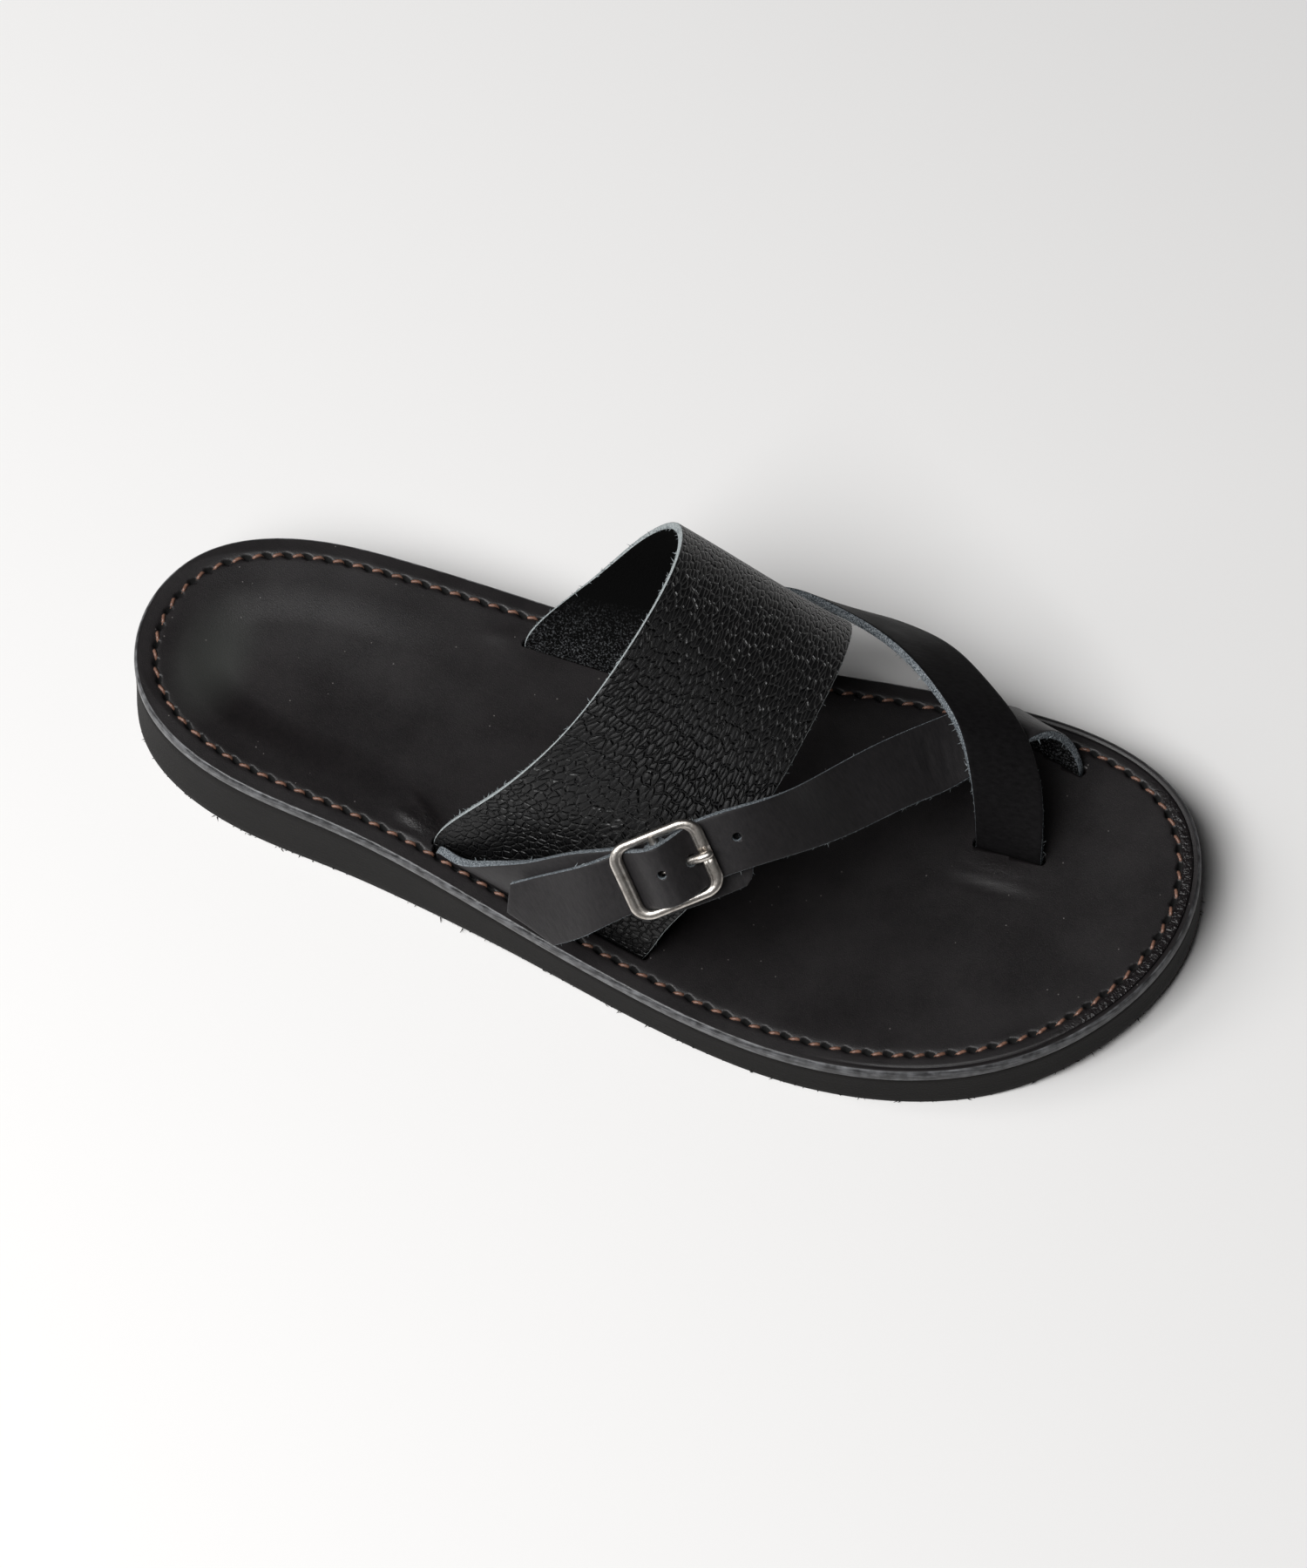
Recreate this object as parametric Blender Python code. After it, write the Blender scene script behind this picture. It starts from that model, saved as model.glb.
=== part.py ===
"""Gurkha sandal for the right foot: leather straps and an instep band on a footbed and a wedge sole.

The tables are in millimetres and the scene is in metres. +X is toeward, +Y is the inner side of the
foot, +Z is up and the sole stands on z = 0. Every strap is a ribbon of leather between two edges: its
table has a row for each fold, with the heelward and the toeward edge of the ribbon there.
"""
import math

import bmesh
import bpy
import numpy as np
from mathutils import Vector

MM = 0.001

# Driving sizes, in millimetres
FOOTBED_THICKNESS = 3.5
BAND_THICKNESS = 2.0
STRAP_THICKNESS = 2.2
STRAP_WIDTH = 16.0
BUCKLE_STRAP_WIDTH = 19.0
WIDTH_IN_BUCKLE = 15.2
FIT_GAP = 0.3
LEG_DEPTH = 7.0
POCKET_DEPTH = 7.6
SLOT_CLEARANCE = 0.5
SLOT_END_ROUNDING = 0.5
CUTTER_HEADROOM = 6.0
GLUED_OVERLAP = 0.2
DISH_REACH = 0.85

# Steps of the meshes
OUTLINE_RUNGS = 44
FOOTBED_COLUMNS = 10
FINE_STEPS = 400
ARC_STEPS = 6
WIRE_SIDES = 12
ROUND_SIDES = 20
RIBBON_STEPS = {  # steps along, across
    "upper": (52, 8),
    "cross strap": (60, 4),
    "toe strap": (96, 3),
    "buckle strap": (44, 3),
}

# Outline of sole and footbed, from the heel round the outer side to the toe and back
OUTLINE = (  # along, across
    (-126.0, 1.0),
    (-119.0, -19.0),
    (-100.0, -31.5),
    (-60.0, -37.0),
    (-18.0, -43.5),
    (22.0, -50.5),
    (58.0, -53.5),
    (88.0, -48.5),
    (112.0, -36.5),
    (130.0, -17.0),
    (139.0, 12.0),
    (129.0, 40.0),
    (108.0, 51.5),
    (80.0, 53.5),
    (40.0, 48.5),
    (0.0, 42.0),
    (-40.0, 38.5),
    (-72.0, 37.0),
    (-101.0, 32.5),
    (-119.5, 20.5),
)
TOE_ROW = 10

# Side view of the sole
PROFILE = (  # along, underside, rim of the footbed, dish below the rim, flare of the sole's lower edge
    (-126.0, 1.0, 27.2, 0.0, 2.2),
    (-114.0, 0.0, 26.6, 1.2, 1.3),
    (-88.0, 0.0, 25.2, 2.0, 0.6),
    (-50.0, 0.0, 22.5, 1.2, 0.6),
    (-12.0, 1.2, 17.6, 0.6, 0.3),
    (25.0, 0.0, 14.0, 0.8, 0.6),
    (62.0, 0.0, 13.0, 1.2, 1.0),
    (100.0, 0.0, 13.8, 0.8, 1.0),
    (139.0, 4.0, 17.5, 0.0, 1.0),
)

# Slots of the footbed: the line that the leather follows where it goes in
SLOTS = {  # rear end along, across, front end along, across
    "outer": (-37.5, -31.5, 19.5, -40.5),
    "inner": (-36.5, 27.0, 22.5, 31.0),
    "between toes": (84.0, 16.0, 100.5, 16.0),
    "big toe side": (87.0, 46.5, 102.0, 42.0),
}

# Instep band, from the outer slot over the instep to the inner slot
BAND_FOLDS = (  # heelward edge x, y, z, toeward edge x, y, z
    (-29.5, -29.0, 37.0, 24.5, -38.8, 28.5),
    (-19.5, -27.0, 53.0, 30.5, -36.0, 41.5),
    (-8.5, -19.0, 69.0, 36.5, -27.5, 53.0),
    (-0.5, -4.0, 80.5, 42.0, -12.0, 61.0),
    (3.5, 15.0, 84.5, 45.0, 8.0, 64.0),
    (2.5, 33.0, 80.0, 45.5, 27.0, 61.0),
    (-3.5, 44.0, 68.5, 43.0, 40.0, 52.5),
    (-13.0, 46.5, 53.0, 38.5, 44.5, 41.0),
    (-23.5, 41.0, 37.0, 32.5, 41.5, 28.5),
)

# Cross strap, from the inner slot outside the band over the big toe to the slot between the toes
CROSS_STRAP_FOLDS = (  # heelward edge x, y, z, toeward edge x, y, z
    (-21.5, 37.0, 23.5, 9.0, 43.0, 17.8),
    (-9.0, 44.5, 27.5, 14.0, 50.5, 22.5),
    (6.0, 49.5, 33.0, 22.5, 54.8, 26.0),
    (24.0, 52.5, 38.6, 35.5, 56.5, 29.3),
    (38.0, 49.5, 41.0, 49.0, 56.0, 32.0),
    (52.0, 44.0, 44.0, 63.0, 52.3, 35.8),
    (64.0, 36.5, 44.5, 76.5, 45.0, 36.4),
    (73.5, 29.0, 42.3, 88.0, 36.5, 34.4),
    (79.0, 22.5, 35.5, 95.0, 28.5, 29.8),
    (82.5, 18.0, 24.5, 99.0, 20.5, 21.5),
)

# Toe strap, from the big toe's side under the cross strap towards the buckle
TOE_STRAP_FOLDS = (  # heelward edge x, y, z, toeward edge x, y, z
    (84.5, 48.2, 19.5, 99.5, 43.8, 19.0),
    (81.5, 46.5, 25.0, 96.0, 42.8, 26.0),
    (76.0, 40.5, 33.0, 90.5, 36.5, 32.5),
    (68.0, 31.8, 39.4, 79.5, 21.0, 35.6),
    (57.2, 17.0, 45.9, 70.2, 8.0, 38.5),
    (47.9, 1.1, 53.6, 61.5, -5.7, 43.6),
    (40.0, -16.2, 66.3, 52.3, -20.4, 52.8),
)

# Free end of the toe strap, heelward of the buckle, ending in an angled cut
FREE_END_FOLDS = (  # heelward edge x, y, z, toeward edge x, y, z
    (-3.0, -42.5, 46.5, 9.5, -52.0, 40.0),
    (-12.5, -44.5, 39.0, 1.5, -52.5, 31.0),
)

# Buckle strap, from the outer slot outside the band up to the buckle
BUCKLE_STRAP_FOLDS = (  # heelward edge x, y, z, toeward edge x, y, z
    (-28.0, -37.5, 26.0, 6.0, -42.5, 21.5),
    (-19.5, -39.5, 34.5, 6.0, -45.5, 29.5),
    (-9.0, -39.3, 43.2, 9.5, -46.8, 39.2),
    (2.8, -37.5, 52.2, 15.9, -44.5, 45.3),
)
SLOT_SPANS = {  # strap: slot, share of the slot at its heelward edge, at its toeward edge, glued beside the band
    "cross strap rear": ("inner", 0.10, 0.72, True),
    "cross strap front": ("between toes", 0.0, 1.0, False),
    "toe strap": ("big toe side", 0.0, 1.0, False),
    "buckle strap": ("outer", 0.07, 0.72, True),
}

# Buckle: its own axes along the strap, across it and out of it, and its place on the outer side
BUCKLE_CENTRE = Vector((24.8, -38.0, 58.2))
BUCKLE_ALONG = Vector((0.78, 0.55, 0.30))
BUCKLE_ACROSS = Vector((0.55, -0.50, -0.67))
BUCKLE_LENGTH = 23.4
BUCKLE_WIDTH = 20.2
BUCKLE_CORNER = 3.2
BAR_WIDTH = 2.8
RAIL_WIDTH = 1.7
BUCKLE_THICKNESS = 1.8
CENTRE_BAR_RADIUS = 1.1
CHAPE_RADIUS = 2.5
CHAPE_SPANS = ((-7.0, -2.2), (2.2, 7.0))
CHAPE_ARCH_DEGREES = range(-30, 211, 20)
CHAPE_FOOT = 1.25
CHAPE_SINK = 0.8
BORE_OVERRUN = 1.0
PRONG_RING_RADIUS = 2.3
PRONG_RING_WIDTH = 2.8
PRONG_RADIUS = 0.8
PRONG_HEIGHT = 2.0
PRONG_REACH = 12.0
PRONG_HOLE_GAP = 0.4
PRONG_TAPER = (  # share of the reach, share of the radius
    (0.0, 1.0),
    (0.75, 1.0),
    (0.96, 0.85),
    (1.0, 0.5),
)
STRAP_DIP = -2.7
STRAP_HUMP = 4.6
HALF_HUMP = 10.3
PAD_TOP = -2.75
PAD_SAG = 1.5
TAB_END = 18.0
PAD_ASIDE = 1.5
TAB_DROP = 1.0

MATERIALS = {  # colour, roughness, metallic
    "outsole": ((0.022, 0.021, 0.020, 1.0), 0.75, 0.0),
    "footbed": ((0.016, 0.014, 0.014, 1.0), 0.45, 0.0),
    "upper": ((0.018, 0.018, 0.018, 1.0), 0.50, 0.0),
    "buckle_frame": ((0.62, 0.60, 0.57, 1.0), 0.30, 1.0),
    "buckle_prong": ((0.62, 0.60, 0.57, 1.0), 0.30, 1.0),
}


def cubic(knots, values, places):
    """Natural cubic curve through one row of values per knot, read at the given places."""
    knots, values = np.asarray(knots, float), np.asarray(values, float)
    steps = np.diff(knots)
    system = np.eye(len(knots))
    loads = np.zeros_like(values)
    for i in range(1, len(knots) - 1):
        system[i, i - 1:i + 2] = steps[i - 1], 2 * (steps[i - 1] + steps[i]), steps[i]
        loads[i] = 6 * ((values[i + 1] - values[i]) / steps[i] - (values[i] - values[i - 1]) / steps[i - 1])
    bends = np.linalg.solve(system, loads)
    i = np.clip(np.searchsorted(knots, places, side="right") - 1, 0, len(knots) - 2)
    h = steps[i][:, None]
    a = (knots[i + 1] - places)[:, None]
    b = (places - knots[i])[:, None]
    curved = (bends[i] * a ** 3 + bends[i + 1] * b ** 3) / (6 * h)
    return curved + (values[i] / h - bends[i] * h / 6) * a + (values[i + 1] / h - bends[i + 1] * h / 6) * b


def travelled(points):
    """Length travelled along a chain of points up to each of them."""
    return np.concatenate([[0.0], np.cumsum(np.linalg.norm(np.diff(points, axis=0), axis=1))])


def sole_sides(count):
    """Outer and inner side of the outline, each as points from the heel's tip to the toe's tip."""
    rows = np.array(OUTLINE)
    wrap = 4
    ring = np.concatenate([rows[-wrap:], rows, rows[:wrap + 1]])
    knots = travelled(ring)

    def side(first, last):
        fine = cubic(knots, ring, np.linspace(knots[wrap + first], knots[wrap + last], FINE_STEPS))
        length = travelled(fine)
        even = np.linspace(0.0, length[-1], count)
        return np.stack([np.interp(even, length, fine[:, k]) for k in (0, 1)], axis=1)

    return side(0, TOE_ROW), side(TOE_ROW, len(rows))[::-1]


def profile_at(x):
    """Rim height and dish of the footbed and flare of the sole at each place along the foot."""
    rows = np.array(PROFILE)
    x = np.clip(np.asarray(x, float), rows[0, 0], rows[-1, 0])
    return cubic(rows[:, 0], rows[:, 2:], x).T


def flared(outer, inner):
    """Both sides of the outline moved outward by the sole's flare."""
    count = len(outer)
    ring = np.concatenate([outer, inner[-2:0:-1]])
    run = np.roll(ring, -1, axis=0) - np.roll(ring, 1, axis=0)
    away = np.stack([run[:, 1], -run[:, 0]], axis=1) / np.linalg.norm(run, axis=1)[:, None]
    ring = ring + away * profile_at(ring[:, 0])[2][:, None]
    return ring[:count], np.concatenate([ring[:1], ring[:count - 2:-1]])


def underside_at(x):
    """Height of the sole's underside, flat under heel and forefoot and eased in between."""
    rows = np.array(PROFILE)
    x = np.clip(np.asarray(x, float), rows[0, 0], rows[-1, 0])
    i = np.clip(np.searchsorted(rows[:, 0], x, side="right") - 1, 0, len(rows) - 2)
    share = (x - rows[i, 0]) / (rows[i + 1, 0] - rows[i, 0])
    ease = share * share * (3 - 2 * share)
    return rows[i, 1] + (rows[i + 1, 1] - rows[i, 1]) * ease


def footbed_top(x, spread):
    """Height of the footbed's upper face; spread is 0 on the middle line and 1 at the rim."""
    rim, dish, _ = profile_at(x)
    return rim - dish * np.clip(1.0 - (spread / DISH_REACH) ** 2, 0.0, 1.0)


def rim_at(x):
    """Rim height at one place along the foot."""
    return float(profile_at([x])[0][0])


def make_object(name, points, faces):
    """Closed mesh object from points in millimetres, with its faces pointing out."""
    mesh = bpy.data.meshes.new(name)
    mesh.from_pydata([tuple(MM * c for c in p) for p in points], [], faces)
    shape = bmesh.new()
    shape.from_mesh(mesh)
    bmesh.ops.recalc_face_normals(shape, faces=shape.faces)
    shape.to_mesh(mesh)
    shape.free()
    made = bpy.data.objects.new(name, mesh)
    bpy.context.collection.objects.link(made)
    return made


def make_cutter(made):
    """Mark an object as an operand that only shapes another one."""
    made.hide_render = True
    made.display_type = "WIRE"
    return made


def combine(target, operand, operation):
    """Add or cut an operand with a Boolean modifier."""
    modifier = target.modifiers.new(operand.name, "BOOLEAN")
    modifier.operation = operation
    modifier.solver = "EXACT"
    modifier.object = make_cutter(operand)


def slab(name, top, bottom, flare=False):
    """Closed body between two height functions inside the sole's outline."""
    sides = sole_sides(OUTLINE_RUNGS)
    shares = np.linspace(0.0, 1.0, FOOTBED_COLUMNS + 1)
    points = []
    sheets = []
    for height, (outer, inner) in ((top, sides), (bottom, flared(*sides) if flare else sides)):
        table = []
        for a, b in zip(outer, inner):
            tip = np.allclose(a, b)
            row = []
            for share in shares:
                if not (tip and row):
                    x, y = a + (b - a) * share
                    spread = 1.0 if tip else abs(2 * share - 1)
                    points.append((x, y, float(height(np.array([x]), spread)[0])))
                row.append(len(points) - 1)
            table.append(row)
        sheets.append(table)
    faces = []
    last = FOOTBED_COLUMNS
    for table in sheets:
        for lower, upper in zip(table, table[1:]):
            for j in range(last):
                corners = (lower[j], lower[j + 1], upper[j + 1], upper[j])
                faces.append(tuple(dict.fromkeys(corners)))
    for upper_pair, lower_pair in zip(zip(sheets[0], sheets[0][1:]), zip(sheets[1], sheets[1][1:])):
        for j in (0, last):
            faces.append((upper_pair[0][j], upper_pair[1][j], lower_pair[1][j], lower_pair[0][j]))
    return make_object(name, points, faces)


def slot_point(slot, share, aside=0.0):
    """Point on a slot's line at the footbed's surface, moved sideways away from the foot."""
    rear_x, rear_y, front_x, front_y = SLOTS[slot]
    rear, front = np.array((rear_x, rear_y)), np.array((front_x, front_y))
    run = (front - rear) / np.linalg.norm(front - rear)
    outward = np.array((-run[1], run[0])) * math.copysign(1.0, rear_y)
    x, y = rear + (front - rear) * share + outward * aside
    return np.array((x, y, rim_at(x)))


def slot_cutter(name, slot, start, end, inner_reach, outer_reach):
    """Prism that cuts a round-ended slot through the footbed and a pocket into the sole below."""
    rear, front = slot_point(slot, start), slot_point(slot, end)
    run = (front - rear)[:2]
    run = run / np.linalg.norm(run)
    side = np.array((-run[1], run[0])) * math.copysign(1.0, rear[1])
    middle = (outer_reach - inner_reach) / 2
    radius = (outer_reach + inner_reach) / 2
    outline = []
    for centre, turn in ((front[:2], 0.0), (rear[:2], math.pi)):
        for step in range(ARC_STEPS + 1):
            angle = turn - math.pi / 2 + math.pi * step / ARC_STEPS
            along = math.cos(angle) * radius * SLOT_END_ROUNDING + math.copysign(SLOT_CLEARANCE, math.cos(turn))
            outline.append(centre + side * (middle + radius * math.sin(angle)) + run * along)
    count = len(outline)
    points = [(x, y, rim_at(x) + CUTTER_HEADROOM) for x, y in outline]
    points += [(x, y, rim_at(x) - POCKET_DEPTH) for x, y in outline]
    faces = [tuple(range(count)), tuple(range(count, 2 * count))]
    faces += [(i, (i + 1) % count, count + (i + 1) % count, count + i) for i in range(count)]
    return make_object(name, points, faces)


def leg_rows(strap_end):
    """Rows that take a strap's end straight down through its slot, from deep to the surface."""
    slot, rear_share, front_share, glued = SLOT_SPANS[strap_end]
    aside = (BAND_THICKNESS + STRAP_THICKNESS) / 2 - GLUED_OVERLAP if glued else 0.0
    rear = slot_point(slot, rear_share, aside)
    front = slot_point(slot, front_share, aside)
    return drop_rows(rear, front)


def drop_rows(rear, front):
    """Rows straight below two points on the footbed, from the leg's end up to the surface."""
    rows = []
    for depth in (LEG_DEPTH, LEG_DEPTH / 2, 0.0):
        down = np.array((0.0, 0.0, depth))
        rows.append(np.concatenate([rear - down, front - down]))
    return rows


def ribbon(name, rows, thickness):
    """Strap of even thickness whose middle surface runs through rows of heelward and toeward edges."""
    along, across = RIBBON_STEPS[name]
    rows = np.array(rows)
    knots = travelled((rows[:, :3] + rows[:, 3:]) / 2)
    edges = cubic(knots, rows, np.linspace(0.0, knots[-1], along + 1))
    shares = np.linspace(0.0, 1.0, across + 1)[None, :, None]
    grid = edges[:, None, :3] * (1 - shares) + edges[:, None, 3:] * shares
    facing = np.cross(np.gradient(grid, axis=0), np.gradient(grid, axis=1))
    facing /= np.linalg.norm(facing, axis=2, keepdims=True)
    points = np.concatenate([(grid + facing * side * thickness / 2).reshape(-1, 3) for side in (1, -1)])
    wide = across + 1
    back = (along + 1) * wide
    faces = []
    for i in range(along):
        for j in range(across):
            a = i * wide + j
            faces.append((a, a + 1, a + wide + 1, a + wide))
            faces.append((back + a, back + a + wide, back + a + wide + 1, back + a + 1))
    rim = [i * wide for i in range(along + 1)]
    rim += [along * wide + j for j in range(1, wide)]
    rim += [i * wide + across for i in range(along - 1, -1, -1)]
    rim += list(range(across - 1, 0, -1))
    faces += [(p, q, back + q, back + p) for p, q in zip(rim, rim[1:] + rim[:1])]
    return make_object(name, points, faces)


def buckle_axes():
    """Unit vectors of the buckle: along the strap, across it and out of it."""
    along = BUCKLE_ALONG.normalized()
    out = BUCKLE_ACROSS.cross(along).normalized()
    return along, along.cross(out).normalized(), out


def buckle_point(along, across, out):
    """Place given in the buckle's own axes, in millimetres of the sandal."""
    a, w, n = buckle_axes()
    return np.array(BUCKLE_CENTRE + a * along + w * across + n * out)


def buckle_row(along, out, width, aside=0.0):
    """Row of a strap that lies square below or through the buckle."""
    half = width / 2
    return np.concatenate([buckle_point(along, aside - half, out), buckle_point(along, aside + half, out)])


def hump(along):
    """Height of the toe strap's middle over the centre bar and under both end bars."""
    middle = (STRAP_HUMP + STRAP_DIP) / 2
    return middle + (STRAP_HUMP - middle) * math.cos(math.pi * along / HALF_HUMP)


def pad(along):
    """Height of the buckle strap's middle below the buckle, bent along the foot."""
    return PAD_TOP - STRAP_THICKNESS / 2 - PAD_SAG * (along / HALF_HUMP) ** 2


def prism(name, profile, start, end):
    """Body with a profile of (along, out) pairs in the buckle's axes, from one place across to another."""
    count = len(profile)
    points = [buckle_point(a, across, n) for across in (start, end) for a, n in profile]
    faces = [tuple(range(count)), tuple(range(count, 2 * count))]
    faces += [(i, (i + 1) % count, count + (i + 1) % count, count + i) for i in range(count)]
    return make_object(name, points, faces)


def circle(radius):
    """Round profile about the centre bar in the buckle's side view."""
    turns = [2 * math.pi * k / ROUND_SIDES for k in range(ROUND_SIDES)]
    return [(radius * math.cos(t), radius * math.sin(t)) for t in turns]


def make_prong_body(name, grow):
    """Straight prong from above the centre bar to the toeward bar, grown by a clearance."""
    sides = WIRE_SIDES
    points = []
    for reach, share in PRONG_TAPER:
        radius = PRONG_RADIUS * share + grow
        for k in range(sides):
            turn = 2 * math.pi * k / sides
            height = PRONG_HEIGHT + radius * math.sin(turn)
            points.append(buckle_point(PRONG_REACH * reach, radius * math.cos(turn), height))
    last = len(PRONG_TAPER) - 1
    faces = [tuple(range(sides)), tuple(range(last * sides, (last + 1) * sides))]
    for ring in range(last):
        for k in range(sides):
            a, b = ring * sides + k, ring * sides + (k + 1) % sides
            faces.append((a, b, b + sides, a + sides))
    return make_object(name, points, faces)


def make_outsole():
    """Wedge sole that carries the footbed and flares towards the floor."""

    def top(x, spread):
        return footbed_top(x, spread) - FOOTBED_THICKNESS - FIT_GAP

    def bottom(x, spread):
        return underside_at(x)

    return slab("outsole", top, bottom, flare=True)


def make_footbed():
    """Leather footbed of even thickness that follows the sole's dished top."""

    def bottom(x, spread):
        return footbed_top(x, spread) - FOOTBED_THICKNESS

    return slab("footbed", footbed_top, bottom)


def make_slot_cutters():
    """One prism for each slot; the long slots are wider where a strap lies beside the band."""
    lean = BAND_THICKNESS / 2 + SLOT_CLEARANCE
    strap = STRAP_THICKNESS / 2 + SLOT_CLEARANCE
    cutters = []
    for slot in ("outer", "inner"):
        cutters.append(slot_cutter(f"{slot} slot cutter", slot, 0.0, 1.0, lean, lean))
    for strap_end in ("cross strap rear", "buckle strap"):
        slot, start, end, _ = SLOT_SPANS[strap_end]
        reach = lean + STRAP_THICKNESS
        cutters.append(slot_cutter(f"{strap_end} cutter", slot, start, end, lean, reach))
    for slot in ("between toes", "big toe side"):
        cutters.append(slot_cutter(f"{slot} cutter", slot, 0.0, 1.0, strap, strap))
    return cutters


def make_band():
    """Wide instep band with a leg in each long slot."""
    ends = {}
    for slot in ("outer", "inner"):
        ends[slot] = drop_rows(slot_point(slot, 0.0), slot_point(slot, 1.0))
    rows = ends["outer"] + list(BAND_FOLDS) + ends["inner"][::-1]
    return ribbon("upper", rows, BAND_THICKNESS)


def make_cross_strap():
    """Strap that rises outside the band, crosses the big toe and goes down between the toes."""
    rows = leg_rows("cross strap rear") + list(CROSS_STRAP_FOLDS) + leg_rows("cross strap front")[::-1]
    return ribbon("cross strap", rows, STRAP_THICKNESS)


def make_toe_strap():
    """Strap from beside the big toe through the buckle to its free end."""
    stations = [HALF_HUMP * k / 3 for k in range(4, -5, -1)]
    through = [buckle_row(TAB_END, STRAP_DIP - TAB_DROP, STRAP_WIDTH)]
    through += [buckle_row(s, hump(min(abs(s), HALF_HUMP)), WIDTH_IN_BUCKLE) for s in stations]
    rows = leg_rows("toe strap") + list(TOE_STRAP_FOLDS) + through + list(FREE_END_FOLDS)
    return ribbon("toe strap", rows, STRAP_THICKNESS)


def make_buckle_strap():
    """Strap from the outer slot that passes below the buckle and ends in a short tab."""
    stations = [HALF_HUMP * k / 2 for k in range(-2, 3)]
    rows = leg_rows("buckle strap") + list(BUCKLE_STRAP_FOLDS)
    rows += [buckle_row(s, pad(s), BUCKLE_STRAP_WIDTH, PAD_ASIDE) for s in stations]
    rows.append(buckle_row(TAB_END, pad(HALF_HUMP) - TAB_DROP, BUCKLE_STRAP_WIDTH, PAD_ASIDE))
    return ribbon("buckle strap", rows, STRAP_THICKNESS)


def make_upper():
    """Band and straps joined to one hollow solid, with the chape loops that hold the buckle."""
    upper = make_band()
    for make in (make_buckle_strap, make_cross_strap, make_toe_strap):
        combine(upper, make(), "UNION")
    turns = np.radians(CHAPE_ARCH_DEGREES)
    arch = [(CHAPE_RADIUS * math.cos(t), CHAPE_RADIUS * math.sin(t)) for t in turns]
    foot = [(side * CHAPE_FOOT, PAD_TOP - CHAPE_SINK) for side in (-1, 1)]
    for number, (start, end) in enumerate(CHAPE_SPANS, 1):
        combine(upper, prism(f"chape {number}", arch + foot, start, end), "UNION")
    reach = BUCKLE_WIDTH / 2
    combine(upper, prism("bar bore", circle(CENTRE_BAR_RADIUS + FIT_GAP), -reach, reach), "DIFFERENCE")
    combine(upper, make_prong_body("prong hole", PRONG_HOLE_GAP), "DIFFERENCE")
    return upper


def make_buckle_frame():
    """Rounded frame with flattened end bars and a centre bar."""
    sides, arc = WIRE_SIDES, ARC_STEPS
    half_along = BUCKLE_LENGTH / 2 - BAR_WIDTH / 2
    half_across = BUCKLE_WIDTH / 2 - RAIL_WIDTH / 2
    loop = []
    for quarter in range(4):
        sign_a = 1 if quarter in (0, 3) else -1
        sign_w = 1 if quarter in (0, 1) else -1
        for step in range(arc + 1):
            turn = math.radians(90 * quarter + 90 * step / arc)
            centre = (sign_a * (half_along - BUCKLE_CORNER), sign_w * (half_across - BUCKLE_CORNER))
            place = (centre[0] + BUCKLE_CORNER * math.cos(turn), centre[1] + BUCKLE_CORNER * math.sin(turn))
            bar = abs(math.cos(turn))
            loop.append((place, (math.cos(turn), math.sin(turn)), RAIL_WIDTH + (BAR_WIDTH - RAIL_WIDTH) * bar))
    points = []
    for (a, w), (away_a, away_w), width in loop:
        for k in range(sides):
            turn = 2 * math.pi * k / sides
            aside = math.cos(turn) * width / 2
            points.append(buckle_point(a + away_a * aside, w + away_w * aside,
                                       math.sin(turn) * BUCKLE_THICKNESS / 2))
    count = len(loop)
    faces = []
    for i in range(count):
        for k in range(sides):
            follow = (k + 1) % sides
            ahead = (i + 1) % count
            faces.append((i * sides + k, i * sides + follow, ahead * sides + follow, ahead * sides + k))
    frame = make_object("buckle_frame", points, faces)
    centre_bar = prism("centre bar", circle(CENTRE_BAR_RADIUS), -half_across, half_across)
    combine(frame, centre_bar, "UNION")
    return frame


def make_buckle_prong():
    """Prong that turns on the centre bar and lies on the toeward bar."""
    half = PRONG_RING_WIDTH / 2
    reach = half + BORE_OVERRUN
    ring = prism("buckle_prong", circle(PRONG_RING_RADIUS), -half, half)
    combine(ring, make_prong_body("prong rod", 0.0), "UNION")
    combine(ring, prism("prong bore", circle(CENTRE_BAR_RADIUS + FIT_GAP), -reach, reach), "DIFFERENCE")
    return ring


def give_material(made):
    """Principled material of a sub-part, named like it."""
    colour, roughness, metallic = MATERIALS[made.name]
    material = bpy.data.materials.new(made.name)
    material.use_nodes = True
    shader = material.node_tree.nodes["Principled BSDF"]
    shader.inputs["Base Color"].default_value = colour
    shader.inputs["Roughness"].default_value = roughness
    shader.inputs["Metallic"].default_value = metallic
    made.data.materials.append(material)


def centre_on_box(parts):
    """Put everything below an empty that moves the middle of the sandal's box over the origin."""
    bpy.context.view_layer.update()
    graph = bpy.context.evaluated_depsgraph_get()
    corners = np.array([corner for part in parts for corner in part.evaluated_get(graph).bound_box])
    middle = (corners.min(axis=0) + corners.max(axis=0)) / 2
    root = bpy.data.objects.new("sandal", None)
    bpy.context.collection.objects.link(root)
    for made in list(bpy.data.objects):
        if made is not root:
            made.parent = root
    root.location = (-middle[0], -middle[1], 0.0)


def main():
    """Clear the scene and build the sandal below one empty."""
    for old in list(bpy.data.objects):
        bpy.data.objects.remove(old, do_unlink=True)
    outsole, footbed = make_outsole(), make_footbed()
    for cutter in make_slot_cutters():
        for body in (outsole, footbed):
            combine(body, cutter, "DIFFERENCE")
    parts = [outsole, footbed, make_upper(), make_buckle_frame(), make_buckle_prong()]
    for part in parts:
        give_material(part)
    centre_on_box(parts)


main()
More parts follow.
